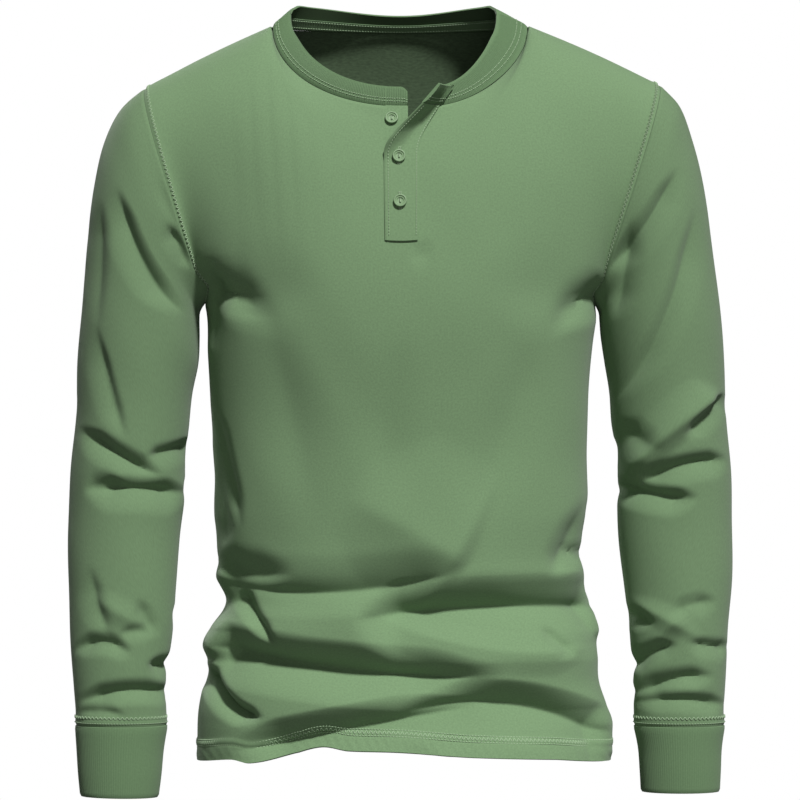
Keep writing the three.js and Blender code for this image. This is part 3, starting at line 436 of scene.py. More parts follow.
def panel_point(side, u, v):
    """A point of the front or back panel with its folds, which meet half and half at the side seams."""
    p = panel_base(side, u, v)
    u = np.broadcast_to(u, p.shape[:-1])
    own = 0.5 + 0.5 * smooth((1 - np.abs(u)) / 0.15)
    front = own if side == "front" else 1 - own
    x, z = p[..., 0], p[..., 2]
    press = front * folds_at(FRONT_FOLDS, x, z) + (1 - front) * folds_at(BACK_FOLDS, x, z)
    p = p - out_of_torso(p) * press[..., None]
    if side == "back":
        return p
    return np.where((u > COLUMN["right"] - 1e-6)[..., None], open_flap(p, x - PLACKET["left"]), p)


def armhole_point(out, turn):
    """The armhole's edge: turn is 0 underarm, 1 at the shoulder tip over the front, 2 underarm again."""
    u = np.full(np.shape(turn), float(out))
    front = panel_point("front", u, 1 + clamp(turn))
    back = panel_point("back", u, 3 - clamp(turn, 1, 2))
    return np.where((turn <= 1)[..., None], front, back)


def tube_point(rows, along, turn):
    """A point of a tube whose sections are rows of a table."""
    at = along * (len(rows["y"]) - 1)
    column = {name: curve_through(rows[name], at) for name in rows}
    inner = vec(column["ix"], column["y"], column["iz"])
    outer = vec(column["ox"], column["y"], column["oz"])
    angle = np.pi * turn
    across = (inner - outer) * 0.5 * np.cos(angle)[..., None]
    return (inner + outer) / 2 + across + vec(0, -column["half"] * np.sin(angle), 0)


def sleeve_point(out, along, turn):
    rows = SLEEVE[out]
    along, turn = np.broadcast_arrays(along, turn)
    p = tube_point(rows, along, turn)
    fit = (1 - smooth(along / 0.13))[..., None]
    p = p + (armhole_point(out, turn) - tube_point(rows, 0 * along, turn)) * fit
    middle = (tube_point(rows, along, 0 * turn) + tube_point(rows, along, 0 * turn + 1)) / 2
    front = smooth((middle[..., 1] - p[..., 1]) / 24 + 0.5)
    hidden = mirrored(SLEEVE_FOLDS[-out])
    x, z = p[..., 0], p[..., 2]
    press = front * folds_at(SLEEVE_FOLDS[out], x, z) + (1 - front) * folds_at(hidden, x, z)
    press *= smooth(along / 0.05) * smooth((1 - along) / 0.03)
    level = unit((p - middle) * (1, 1, 0))
    return p - level * press[..., None]


def solve(f, value, low, high):
    """The parameter at which a rising or falling function reaches a value."""
    rising = f(high) > f(low)
    for _ in range(50):
        middle = (low + high) / 2
        if (f(middle) < value) == rising:
            low = middle
        else:
            high = middle
    return (low + high) / 2


def column_at(x):
    return solve(lambda u: panel_base("front", u, 1.7)[..., 0], x, -0.5, 0.5)


def row_at(z):
    return solve(lambda v: panel_base("front", 0.0, v)[..., 2], z, 1, 2)


COLUMN = {name: column_at(PLACKET[name]) for name in ("left", "stand", "right")}
BOTTOM_ROW = row_at(PLACKET["bottom"])


def raised(p, direction, height):
    return p + direction * np.asarray(height)[..., None]


def flap_point(u, v):
    """A point of the buttonhole flap, which lies on the button stand and swings open at its top."""
    p = panel_base("front", u, v)
    inside = p[..., 0] - PLACKET["left"]
    opened = smooth((p[..., 2] - FLAP_ROLL["from"]) / (FLAP_ROLL["to"] - FLAP_ROLL["from"]))
    roll = FLAP_ROLL["lift"] * opened * (1 - smooth(inside / FLAP_ROLL["reach"]))
    lifted = raised(p, out_of_torso(p), FLAP_RAISE + roll)
    return open_flap(lifted, inside)


def stand_point(u, v):
    p = panel_base("front", u, v)
    return raised(p, out_of_torso(p), STAND_RAISE)


# Meshes from grids of points
def grid_normals(grid, wrap=False, flip=False):
    """Outward directions of a grid whose rows run up the cloth and whose columns run to the right."""
    up = np.gradient(grid, axis=0)
    if wrap:
        across = np.roll(grid, -1, axis=1) - np.roll(grid, 1, axis=1)
    else:
        across = np.gradient(grid, axis=1)
    normal = unit(np.cross(across, up))
    return -normal if flip else normal


def grid_faces(rows, columns, wrap, flip, hole):
    steps = columns if wrap else columns - 1
    r, c = np.meshgrid(np.arange(rows - 1), np.arange(steps), indexing="ij")
    if hole is not None:
        r, c = r[~hole], c[~hole]
    r, c = r.ravel(), c.ravel()
    beside = (c + 1) % columns
    low, high = r * columns, (r + 1) * columns
    ring = np.stack([low + c, low + beside, high + beside, high + c], axis=-1)
    return ring[:, ::-1] if flip else ring


def cloth_distances(grid):
    """How far each point lies along the cloth, across and up, in metres, for the knit's texture."""
    across = np.linalg.norm(np.diff(grid, axis=1), axis=-1).cumsum(axis=1)
    across = np.pad(across, ((0, 0), (1, 0)))
    across -= across[:, across.shape[1] // 2][:, None]
    up = np.linalg.norm(np.diff(grid, axis=0), axis=-1).cumsum(axis=0)
    up = np.pad(up, ((1, 0), (0, 0)))
    return np.stack([across, up], axis=-1) * MM


def linked_object(name, data):
    made = bpy.data.objects.new(name, data)
    bpy.context.scene.collection.objects.link(made)
    return made


def smooth_faces(mesh):
    mesh.polygons.foreach_set("use_smooth", np.ones(len(mesh.polygons), bool))


def mesh_object(name, points, faces, material, uvs=None):
    """A smooth-shaded object from points in millimetres, without the points that no face uses."""
    used, compact = np.unique(faces, return_inverse=True)
    faces = compact.reshape(faces.shape)
    mesh = bpy.data.meshes.new(name)
    mesh.from_pydata((points[used] * MM).tolist(), [], faces.tolist())
    if uvs is not None:
        layer = mesh.uv_layers.new(name="cloth")
        layer.data.foreach_set("uv", uvs[used][faces.ravel()].ravel())
    mesh.materials.append(material)
    smooth_faces(mesh)
    mesh.set_sharp_from_angle(angle=math.radians(48))
    return linked_object(name, mesh)


def shell(name, grid, thick, material, wrap=False, flip=False, hole=None, relief=None, reverse=None):
    """A closed wall of cloth: its outer face on the grid, raised by the relief, and a plain inner face.

    The inner face can have a material of its own, the reverse; the reverses used here are darkened as
    painted shade.
    """
    rows, columns = grid.shape[:2]
    normal = grid_normals(grid, wrap, flip)
    outer = grid if relief is None else raised(grid, normal, relief)
    inner = raised(grid, normal, np.full(grid.shape[:2], -float(thick)))
    faces = grid_faces(rows, columns, wrap, flip, hole)
    count = rows * columns
    edges = np.concatenate([faces[:, [k, (k + 1) % 4]] for k in range(4)])
    forward = edges[:, 0] * count + edges[:, 1]
    backward = edges[:, 1] * count + edges[:, 0]
    border = edges[~np.isin(forward, backward)]
    rim = np.stack([border[:, 1], border[:, 0], border[:, 0] + count, border[:, 1] + count], axis=-1)
    points = np.concatenate([outer.reshape(-1, 3), inner.reshape(-1, 3)])
    uv = cloth_distances(grid).reshape(-1, 2)
    every = np.concatenate([faces, faces[:, ::-1] + count, rim])
    made = mesh_object(name, points, every, material, np.concatenate([uv, uv]))
    if reverse:
        made.data.materials.append(reverse)
        inside = np.arange(len(every)) // len(faces) == 1
        made.data.polygons.foreach_set("material_index", inside.astype(np.int32))
    return made


def spread(count, low=0.0, high=1.0):
    return np.linspace(low, high, count + 1)


# Materials
def shaded(colour, share):
    return tuple(c * share for c in colour)


def principled(name, colour, roughness, sheen=0.0):
    material = bpy.data.materials.new(name)
    material.use_nodes = True
    shader = material.node_tree.nodes["Principled BSDF"]
    shader.inputs["Base Color"].default_value = (*colour, 1)
    shader.inputs["Roughness"].default_value = roughness
    shader.inputs["Specular IOR Level"].default_value = 0.25
    shader.inputs["Sheen Weight"].default_value = sheen
    shader.inputs["Sheen Roughness"].default_value = 0.6
    return material, material.node_tree, shader


def link(tree, source, socket, target, name):
    tree.links.new(source.outputs[socket], target.inputs[name])


def node(tree, kind, inputs):
    made = tree.nodes.new(f"ShaderNode{kind}")
    for name, value in inputs.items():
        made.inputs[name].default_value = value
    return made


# The length of a wave texture's band at scale 1, and the scales of the loops and of the dye's mottle
BAND = math.pi / 10
LOOPS = 1400
DYE = 560
BUMP_HEIGHT = 0.25 * MM


def knit(name, colour, wale, strength, mottle=0.06, slub_and_crease_stretch=1.0):
    """A matt jersey: fine upright wales, tiny uneven loops and a faint mottle in the dye."""
    material, tree, shader = principled(name, colour, 0.88, sheen=0.12)
    place = tree.nodes.new("ShaderNodeTexCoord")
    banded = {"Scale": BAND / (wale * MM), "Distortion": 0.6, "Detail": 1.0, "Detail Scale": 3.0}
    wales = node(tree, "TexWave", banded)
    wales.wave_type = "BANDS"
    wales.bands_direction = "X"
    link(tree, place, "UV", wales, "Vector")
    loops = node(tree, "TexNoise", {"Scale": LOOPS, "Detail": 2})
    link(tree, place, "UV", loops, "Vector")
    both = node(tree, "Math", {})
    both.operation = "ADD"
    link(tree, wales, "Fac", both, 0)
    link(tree, loops, "Fac", both, 1)
    bump = node(tree, "Bump", {"Strength": strength, "Distance": BUMP_HEIGHT})
    link(tree, both, "Value", bump, "Height")
    link(tree, bump, "Normal", shader, "Normal")
    dye = node(tree, "TexNoise", {"Scale": DYE, "Detail": 3})
    # Stretched across, the mottle makes streaks: partly slubs in the yarn, partly painted shade of fine
    # creases.
    slub_and_crease_streaks = node(tree, "Mapping", {"Scale": (1 / slub_and_crease_stretch, 1.0, 1.0)})
    link(tree, place, "UV", slub_and_crease_streaks, "Vector")
    link(tree, slub_and_crease_streaks, "Vector", dye, "Vector")
    ramp = tree.nodes.new("ShaderNodeValToRGB")
    ends = ramp.color_ramp.elements
    for end, position, share in ((ends[0], 0.3, 1 - mottle), (ends[1], 0.7, 1 + mottle)):
        end.position = position
        end.color = (*shaded(colour, share), 1)
    link(tree, dye, "Fac", ramp, "Fac")
    link(tree, ramp, "Color", shader, "Base Color")
    return material


GREEN = (0.185, 0.3, 0.152)
RIB_GREEN = (0.14, 0.236, 0.115)
THREAD_GREEN = (0.36, 0.5, 0.31)
BUTTON_GREEN = (0.235, 0.36, 0.195)
# Near black: painted shade for the buttonholes' slits, where the cut opens onto shadow.
SLIT_PAINTED_SHADE = (0.05, 0.08, 0.045)
# The inner faces are the cloth darkened by this share: painted shade, for the inside of the shirt, which
# lies in shadow.
REVERSE_PAINTED_SHADE = 0.5
# The sleeves are the body's jersey darkened by this share: painted shade, for sleeves that lie in weaker
# light.
SLEEVE_PAINTED_SHADE = 0.87
WALE = 0.6915
TWILL_WALE = 0.5029
jersey = knit("jersey", GREEN, WALE, strength=0.35, mottle=0.1)
# The sleeves' copy of the jersey, darker by painted shade.
jersey_sleeve_painted_shade = knit("jersey_sleeve_painted_shade", shaded(GREEN, SLEEVE_PAINTED_SHADE), WALE, strength=0.35, mottle=0.1)
# The reverse's stronger, stretched mottle is partly slubs and partly painted shade of fine creases.
# The reverses are darker copies of the jersey and the rib: painted shade for the shadowed inside.
jersey_reverse_painted_shade = knit("jersey_reverse_painted_shade", shaded(GREEN, REVERSE_PAINTED_SHADE), WALE, 0.5, mottle=0.22, slub_and_crease_stretch=2.5)
rib_reverse_painted_shade = principled("rib_reverse_painted_shade", shaded(RIB_GREEN, REVERSE_PAINTED_SHADE), 0.9)[0]
rib = knit("rib", RIB_GREEN, WALE, strength=0.2)
twill = knit("twill", RIB_GREEN, TWILL_WALE, strength=0.5)
thread = principled("thread", THREAD_GREEN, 0.7, sheen=0.1)[0]
gloss = principled("button", BUTTON_GREEN, 0.45)[0]
slit = principled("slit", SLIT_PAINTED_SHADE, 0.9)[0]


def belongs(piece, slot, *nodes):
    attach(piece, "root")
    if nodes:
        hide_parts(*nodes)
    return piece


def cloth_piece(piece, slot, solid, with_pieces=()):
    """A piece of cloth that replaces a solid, and the sewing that goes with it."""
    for sewn in with_pieces:
        belongs(sewn, slot)
    belongs(piece, slot, solid)


# Sewing
def stitch_form(sides=5):
    """A stitch as a small pointed bead: its points on a unit length, and its faces."""
    angles = spread(sides)[:-1] * 2 * np.pi
    rings = [(-0.5, 0.35), (-0.2, 1.0), (0.2, 1.0), (0.5, 0.35)]
    points = [(x, size * math.cos(a), size * math.sin(a)) for x, size in rings for a in angles]
    faces = []
    for ring in range(len(rings) - 1):
        for k in range(sides):
            low, beside = ring * sides + k, ring * sides + (k + 1) % sides
            faces.append((low, beside, beside + sides, low + sides))
    return np.array(points), np.array(faces), sides, len(rings)


def stitches(name, centres, along, out, length, width, material=None):
    """Many stitches at once, as one object, each lying along the cloth and half sunk in it."""
    points, faces, sides, rings = stitch_form()
    along = unit(along)
    side = unit(np.cross(out, along))
    out = np.cross(along, side)
    size = points * (length, width / 2, width / 2)
    placed = (
        centres[:, None]
        + size[None, :, :1] * along[:, None]
        + size[None, :, 1:2] * side[:, None]
        + size[None, :, 2:] * out[:, None]
    )
    shift = np.arange(len(centres))[:, None, None] * len(points)
    quads = (faces[None] + shift).reshape(-1, 4)
    made = mesh_object(name, placed.reshape(-1, 3), quads, material or thread)
    close_ends(made, sides, rings, len(centres))
    return made


def close_ends(made, sides, rings, count):
    """Caps on both ends of each stitch."""
    mesh = made.data
    fans = []
    for k in range(count):
        first = k * sides * rings
        fans.append(list(range(first + sides - 1, first - 1, -1)))
        fans.append(list(range(first + sides * (rings - 1), first + sides * rings)))
    vertices = [v.co.copy() for v in mesh.vertices]
    faces = [tuple(p.vertices) for p in mesh.polygons] + [tuple(fan) for fan in fans]
    mesh.clear_geometry()
    mesh.from_pydata(vertices, [], faces)
    smooth_faces(mesh)


def normals_of(surface, u, v, flip=False):
    step = 1e-3
    across = surface(u + step, v) - surface(u - step, v)
    up = surface(u, v + step) - surface(u, v - step)
    normal = unit(np.cross(across, up))
    return -normal if flip else normal


def row_along(path, out, pitch):
    """Even places along a path: their points, directions and outward directions."""
    lengths = np.linalg.norm(np.diff(path, axis=0), axis=-1)
    places = np.concatenate([[0], lengths.cumsum()])
    at = np.arange(pitch / 2, places[-1], pitch)
    point = np.stack([np.interp(at, places, path[:, k]) for k in range(3)], axis=-1)
    normal = unit(np.stack([np.interp(at, places, out[:, k]) for k in range(3)], axis=-1))
    direction = unit(np.gradient(point, axis=0))
    return point, direction, normal


def straight_row(name, path, out, pitch=3.0, length=2.3, width=0.75, sink=0.1):
    point, direction, normal = row_along(path, out, pitch)
    return stitches(name, point - normal * sink, direction, normal, length, width)


def zigzag_row(name, path, out, pitch=1.6, half=1.6, width=0.6):
    point, direction, normal = row_along(path, out, pitch)
    side = np.cross(normal, direction)
    turn = np.where(np.arange(len(point)) % 2 == 0, 1.0, -1.0)[:, None]
    slant = direction * pitch + side * 2 * half * turn
    length = math.hypot(pitch, 2 * half)
    return stitches(name, point, slant, normal, length, width)


# Uneven, shallow ripples, so that no stretch of cloth is perfectly even
RIPPLES = table(
    "x z turn size",
    (0.021, 0.013, 0.3, 0.35),
    (-0.034, 0.019, 1.9, 0.28),
    (0.052, -0.027, 4.1, 0.2),
    (0.011, 0.061, 2.6, 0.22),
    (-0.083, -0.046, 5.2, 0.12),
    (0.12, 0.07, 0.9, 0.08),
)


def ripples(p):
    waves = zip(*(RIPPLES[name] for name in ("x", "z", "turn", "size")))
    return sum(size * np.sin(a * p[..., 0] + b * p[..., 2] + turn) for a, b, turn, size in waves)


# Front and back panels
HEM_STITCH_ROWS = (13.0, 18.5)
PANEL_ROWS = np.concatenate(
    [
        spread(112, 0, 0.43)[:-1],
        spread(50, 0.43, 1)[:-1],
        spread(14, 1, BOTTOM_ROW)[:-1],
        spread(52, BOTTOM_ROW, 2),
    ]
)


def hem_rows(side, u, height):
    """The v that lies a height above the hem's edge, for each u."""
    steps = np.linspace(0, 0.25, 60)
    z = np.stack([panel_base(side, u, np.full(u.shape, v))[..., 2] for v in steps])
    rise = z - z[0]
    return np.array([np.interp(height, rise[:, k], steps) for k in range(len(u))])


def hem_relief(grid):
    """The hem's second layer and the small slanting puckers under its stitching."""
    height = grid[..., 2] - grid[0, :, 2][None]
    x = grid[..., 0]
    layer = 0.55 * smooth((HEM_STITCH_ROWS[1] + 1.5 - height) / 1.5)
    low = smooth(height / 3) * smooth((HEM_STITCH_ROWS[0] - height) / 5)
    pucker = np.sin((x * 0.72 + height * 0.42) + 1.3 * np.sin(x * 0.045)) * 0.28
    between = smooth((height - HEM_STITCH_ROWS[0]) / 1) * smooth((HEM_STITCH_ROWS[1] - height) / 1)
    rows = sum(np.exp(-(((height - row) / 0.8) ** 2)) for row in HEM_STITCH_ROWS)
    return layer + low * pucker + 0.25 * between - 0.45 * rows


def seam_dip(v, grid):
    """Cloth rolls in a little at the armhole seams and at the neck and shoulder seams."""
    edge = np.linalg.norm(grid - grid[:, :1], axis=-1), np.linalg.norm(grid - grid[:, -1:], axis=-1)
    near = np.minimum(*edge)
    above = smooth((v - 1) / 0.05)
    top = np.linalg.norm(grid - grid[-1:], axis=-1)
    arm = -1.9 * np.exp(-((near / 1.7) ** 2)) + 0.45 * np.exp(-(((near - 4) / 2.2) ** 2))
    return arm * above - 1.2 * np.exp(-((top / 1.3) ** 2)) * smooth((v - 1) / 0.5)


def panel(side, columns, hole):
    u, v = np.meshgrid(columns, PANEL_ROWS)
    surface = partial(panel_point, side)
    back = side == "back"
    grid = surface(u, v)
    calm = smooth(v / 0.02) * smooth((2 - v) / 0.06) * smooth((1 - np.abs(u)) / 0.05)
    relief = hem_relief(grid) + seam_dip(v, grid) + ripples(grid) * calm
    piece = shell(
        f"{side}_cloth", grid, CLOTH, jersey, flip=back, hole=hole, relief=relief, reverse=jersey_reverse_painted_shade
    )
    sewing = []
    edge = columns[1:-1]
    for count, height in enumerate(HEM_STITCH_ROWS):
        rows = hem_rows(side, edge, height)
        out = normals_of(surface, edge, rows, flip=back)
        path = surface(edge, rows) + out * 0.65
        sewing.append(straight_row(f"{side}_hem_row_{count}", path, out, 2.7, 2.2, 1.0))
    rows = hem_rows(side, edge, sum(HEM_STITCH_ROWS) / 2)
    out = normals_of(surface, edge, rows, flip=back)
    path = surface(edge, rows) + out * 0.9
    sewing.append(zigzag_row(f"{side}_hem_zigzag", path, out, 2.0, 2.0, 0.8))
    cloth_piece(piece, "cloth", side, sewing)


FRONT_COLUMNS = np.concatenate(
    [
        spread(83, -1, COLUMN["left"])[:-1],
        spread(10, COLUMN["left"], COLUMN["right"])[:-1],
        spread(82, COLUMN["right"], 1),
    ]
)
open_rows = PANEL_ROWS[:-1] > BOTTOM_ROW - 1e-9
open_columns = FRONT_COLUMNS[:-1] > COLUMN["left"] - 1e-9
open_columns &= FRONT_COLUMNS[:-1] < COLUMN["right"] - 1e-9
panel("front", FRONT_COLUMNS, open_rows[:, None] & open_columns[None])
panel("back", spread(150, -1, 1), None)


# Sleeves and cuffs
def sleeve(out, name):
    turns = np.concatenate([spread(62), spread(62, 1, 2)[1:-1]])
    turn, along = np.meshgrid(turns, spread(250))
    grid = sleeve_point(out, along, turn)
    calm = smooth(along / 0.05) * smooth((1 - along) / 0.03)
    gather = np.exp(-(((1 - along) / 0.012) ** 2))
    relief = ripples(grid) * calm - 0.9 * np.exp(-((along / 0.004) ** 2)) + 0.7 * gather
    relief -= 1.1 * np.exp(-(((1 - along) / 0.0035) ** 2))
    piece = shell(
        f"sleeve_{name}_cloth", grid, CLOTH, jersey_sleeve_painted_shade, wrap=True, flip=out > 0, relief=relief
    )
    cloth_piece(piece, "cloth", f"sleeve_{name}")


def cuff(out, name):
    turn, along = np.meshgrid(spread(CUFF_RIBS * 4)[:-1] * 2, spread(26))
    grid = tube_point(CUFF[out], along, turn)
    seam = sleeve_point(out, np.ones(turn.shape), turn)
    grid = mix(seam, grid, smooth(along / 0.12)[..., None])
    ridges = 0.1 * np.cos(turn * np.pi * CUFF_RIBS)
    body = 0.9 * smooth(along / 0.07)
    fold = -0.9 * smooth((along - 0.97) / 0.03) - 0.8 * np.exp(-((along / 0.02) ** 2))
    relief = ridges * smooth(along / 0.05) * smooth((1 - along) / 0.04) + body + fold
    piece = shell(f"cuff_{name}_cloth", grid, RIB_CLOTH, rib, wrap=True, flip=out > 0, relief=relief)
    turn = spread(200) * 2
    path = sleeve_point(out, np.full(turn.shape, 0.994), turn)
    heart = path.mean(axis=0)
    normal = unit((path - heart) * (1, 1, 0))
    sewing = [straight_row(f"cuff_{name}_row", path + normal * 0.9, normal, pitch=2.6, length=2.0)]
    path = sleeve_point(out, np.full(turn.shape, 0.984), turn)
    sewing.append(zigzag_row(f"cuff_{name}_zigzag", path + normal * 0.5, normal, 2.0, 1.5, 0.8))
    cloth_piece(piece, "rib", f"cuff_{name}", sewing)


for out, name in ((-1, "left"), (1, "right")):
    sleeve(out, name)
    cuff(out, name)


# Placket
def placket_part(name, surface, columns, rows):
    u, v = np.meshgrid(columns, rows)
    grid = surface(u, v)
    flip = columns[0] > columns[-1]
    from_edge = np.linalg.norm(grid - grid[:, -1:], axis=-1)
    relief = -0.7 * np.exp(-((from_edge / 0.9) ** 2)) + ripples(grid) * 0.3
    relief -= 0.3 * np.exp(-(((from_edge - 3.7) / 0.8) ** 2))
    piece = shell(f"{name}_cloth", grid, PLACKET_CLOTH, jersey, flip=flip, relief=relief)
    cloth_piece(piece, "cloth", name)


stand_columns = spread(12, COLUMN["left"], COLUMN["stand"])
placket_part("placket_stand", stand_point, stand_columns, spread(60, BOTTOM_ROW, 2))
flap_columns = spread(26, COLUMN["right"], COLUMN["left"])
flap_rows = spread(84, row_at(PLACKET["bottom"] - 3), 2)
placket_part("placket_flap", flap_point, flap_columns, flap_rows)


def placket_sewing():
    rows = spread(80, row_at(PLACKET["bottom"] + 1), 1.99)
    edges = {"free": PLACKET["left"] + 3.7, "seam": PLACKET["right"] - 1.5}
    for name, x in edges.items():
        u = np.full(rows.shape, column_at(x))
        out = normals_of(flap_point, u, rows)
        path = flap_point(u, rows) + out * 0.2
        belongs(straight_row(f"placket_{name}_row", path, out, 2.7, 1.9, 0.85), "cloth")


placket_sewing()


# Collar band
def collar_path():
    """The neck seam from the button stand round the back to the flap.

    It gives the seam's points, their places across the shirt, and whether each lies on the flap.
    """
    left_end = column_at(PLACKET["left"])
    front, back = partial(panel_point, "front"), partial(panel_point, "back")
    parts = [
        ("front", stand_point, spread(16, COLUMN["stand"], left_end)[:-1], 0.0),
        ("front", front, spread(120, left_end, -NECK_SHARE)[:-1], 0.0),
        ("back", back, spread(200, -NECK_SHARE, NECK_SHARE), 0.0),
        ("front", front, spread(120, NECK_SHARE, COLUMN["right"])[1:-1], 0.0),
        ("front", flap_point, spread(20, COLUMN["right"], COLUMN["left"]), 1.0),
    ]
    points, across, on_flap = [], [], []
    for side, surface, u, flap in parts:
        top = np.full(u.shape, 2.0)
        points.append(surface(u, top))
        across.append(panel_base(side, u, top)[..., 0])
        on_flap.append(np.full(u.shape, flap))
    return np.concatenate(points), np.concatenate(across), np.concatenate(on_flap)


def collar():
    """The collar band. It gives the grid and the outward directions of the part that carries the tape."""
    path, across, on_flap = collar_path()
    steps = np.concatenate([[0], np.linalg.norm(np.diff(path, axis=0), axis=-1).cumsum()])
    ribs = round(steps[-1] / COLLAR_RIB)
    at = spread(ribs * 4) * steps[-1]
    path = np.stack([np.interp(at, steps, path[:, k]) for k in range(3)], axis=-1)
    across, on_flap = np.interp(at, steps, across), np.interp(at, steps, on_flap)
    up, column = np.meshgrid(spread(14), np.arange(len(at)), indexing="ij")
    p, x, flap = path[column], across[column], on_flap[column]
    side = clamp(np.abs(x) / NECK_HALF_WIDTH)
    middle = np.sqrt(clamp(1 - side**2))
    lean = np.where(p[..., 1] < SHOULDER_Y, COLLAR_LEAN["front"], COLLAR_LEAN["back"]) * middle
    inward = np.where(x < 0, COLLAR_LEAN["left"], -COLLAR_LEAN["right"]) * side**1.5
    lift = COLLAR_BACK_LIFT * smooth(np.abs(x) / 90) * smooth((p[..., 1] - SHOULDER_Y) / 12)
    ear = COLLAR_EAR_DROP * np.exp(-(((1 - side) / 0.05) ** 2))
    low = np.where(p[..., 1] < SHOULDER_Y, 0.0, COLLAR_BACK_DROP * middle)
    rise = vec(inward, lean, COLLAR_RISE + lift - ear - low)
    corner = (x > 0) & (p[..., 1] < 0) & (x < COLLAR_CORNER) & (flap < 0.5)
    height = np.where(corner, np.sqrt(clamp(1 - (x / COLLAR_CORNER) ** 2)), 1.0)
    grid = p + rise * (up * height)[..., None] + vec(flap * up * COLLAR_FLAP_LEAN, 0, 0)
    crown = 0.9 * np.sin(np.pi * clamp(up, 0.02, 0.98))
    ridges = 0.26 * np.cos(2 * np.pi * ribs * at / steps[-1])[column]
    relief = crown + ridges * smooth(up / 0.08) * smooth((1 - up) / 0.06)
    relief -= 1.0 * np.exp(-((up / 0.07) ** 2))
    piece = shell("collar_band_cloth", grid, RIB_CLOTH, rib, flip=True, relief=relief, reverse=rib_reverse_painted_shade)
    out = grid_normals(grid, flip=True)
    sewing = []
    for count, row in enumerate((3, 5)):
        seam = grid[row] + out[row] * (relief[row][:, None] + 0.3)
        sewn = straight_row(f"collar_row_{count}", seam, out[row], pitch=2.6, length=1.8, width=0.8)
        sewing.append(sewn)
    cloth_piece(piece, "rib", "collar_band", sewing)
    reach = abs(float(panel_base("back", np.array([TAPE_REACH]), np.array([2.0]))[0, 0]))
    taped = (seam[:, 1] > SHOULDER_Y) & (np.abs(across) < reach)
    return grid[:, taped], out[:, taped]


# Neck tape
def neck_tape(band, out):
    """A narrow strip on the inner face of the collar band, just above the back neck seam."""
    grid = raised(band[1:8], out[1:8], np.full(band[1:8].shape[:2], -RIB_CLOTH - TAPE_GAP))
    piece = shell("neck_tape_cloth", grid, TAPE_CLOTH, twill, flip=True)
    sewing = []
    for count, row in enumerate((1, 5)):
        path = grid[row] - out[row] * (TAPE_CLOTH + 0.25)
        sewn = straight_row(f"tape_row_{count}", path, -out[row], pitch=2.6, length=1.9, width=0.8)
        sewing.append(sewn)
    cloth_piece(piece, "tape", "neck_tape", sewing)


neck_tape(*collar())


# Buttons
def turned(profile, sides):
    """A body turned about its own Z axis, from (radius, height) pairs that start and end on the axis."""
    angles = spread(sides)[:-1] * 2 * np.pi
    inner = profile[1:-1]
    points = [(r * math.cos(a), r * math.sin(a), h) for r, h in inner for a in angles]
    faces = []
    for ring in range(len(inner) - 1):
        for k in range(sides):
            beside = (k + 1) % sides
            low = ring * sides
            faces.append((low + k, low + beside, low + sides + beside, low + sides + k))
    base, top = len(points), len(points) + 1
    points += [(0, 0, profile[0][1]), (0, 0, profile[-1][1])]
    last = (len(inner) - 1) * sides
    for k in range(sides):
        beside = (k + 1) % sides
        faces.append((base, beside, k))
        faces.append((top, last + k, last + beside))
    return points, faces


def placed_object(name, points, faces, matrix, material):
    mesh = bpy.data.meshes.new(name)
    mesh.from_pydata([tuple(c * MM for c in point) for point in points], [], faces)
    mesh.materials.append(material)
    smooth_faces(mesh)
    made = linked_object(name, mesh)
    made.matrix_world = matrix
    return made


def seat(x, z, on_flap):
    """Where a button sits: its matrix, its place on the cloth, and the outward and upward directions."""
    surface = flap_point if on_flap else stand_point
    u, v = np.array(column_at(x)), np.array(row_at(z))
    place, out = surface(u, v), normals_of(surface, u, v)
    up = unit(np.array([0, 0, 1.0]) - out * out[2])
    side = np.cross(up, out)
    back = (place + out * BUTTON_GAP) * MM
    rows = [[side[k], up[k], out[k], back[k]] for k in range(3)]
    return Matrix(rows + [[0, 0, 0, 1]]), place, out, up


def button(name, x, z, on_flap):
    radius, thick, well = BUTTON["radius"], BUTTON["thick"], BUTTON["well"]
    inside_rim = radius - BUTTON["rim"]
    floor = thick - BUTTON_WELL_DEPTH
    profile = [
        (0, 0),
        (radius - 0.8, 0),
        (radius - 0.2, 0.3),
        (radius, 0.9),
        (radius, thick - 0.8),
        (radius - 0.25, thick - 0.2),
        (radius - 0.75, thick),
        (inside_rim, thick - 0.1),
        (inside_rim - 0.35, thick - 0.8),
        (inside_rim - 0.8, thick - 1.0),
        (well + 0.5, thick - 0.85),
        (well, thick - 1.0),
        (well - 0.35, thick - 1.75),
        (0, floor),
    ]
    matrix, place, out, up = seat(x, z, on_flap)
    points, faces = turned(profile, 48)
    disc = placed_object(f"{name}_disc", points, faces, matrix, gloss)
    hole_profile = [(0, -2), (BUTTON["hole"], -2), (BUTTON["hole"], 5), (0, 5)]
    hole_points, hole_faces = turned(hole_profile, 16)
    for count, shift in enumerate((-BUTTON["offset"], BUTTON["offset"])):
        shifted = [(px, py + shift, pz) for px, py, pz in hole_points]
        cutter = placed_object(f"{name}_cutter_{count}", shifted, hole_faces, matrix, gloss)
        cut = disc.modifiers.new("hole", "BOOLEAN")
        cut.operation = "DIFFERENCE"
        cut.solver = "EXACT"
        cut.object = cutter
        with bpy.context.temp_override(object=disc, active_object=disc):
            bpy.ops.object.modifier_apply(modifier=cut.name)
        bpy.data.objects.remove(cutter)
    disc.data.set_sharp_from_angle(angle=math.radians(35))
    belongs(disc, "button", name)
    centres = np.array([place + out * (BUTTON_GAP + floor + 0.75)])
    length = 2 * BUTTON["offset"] + 1.2
    sewn = stitches(f"{name}_thread", centres, np.array([up]), np.array([out]), length, 1.1)
    belongs(sewn, "button")
    if on_flap:
        buttonhole(name, x, z)


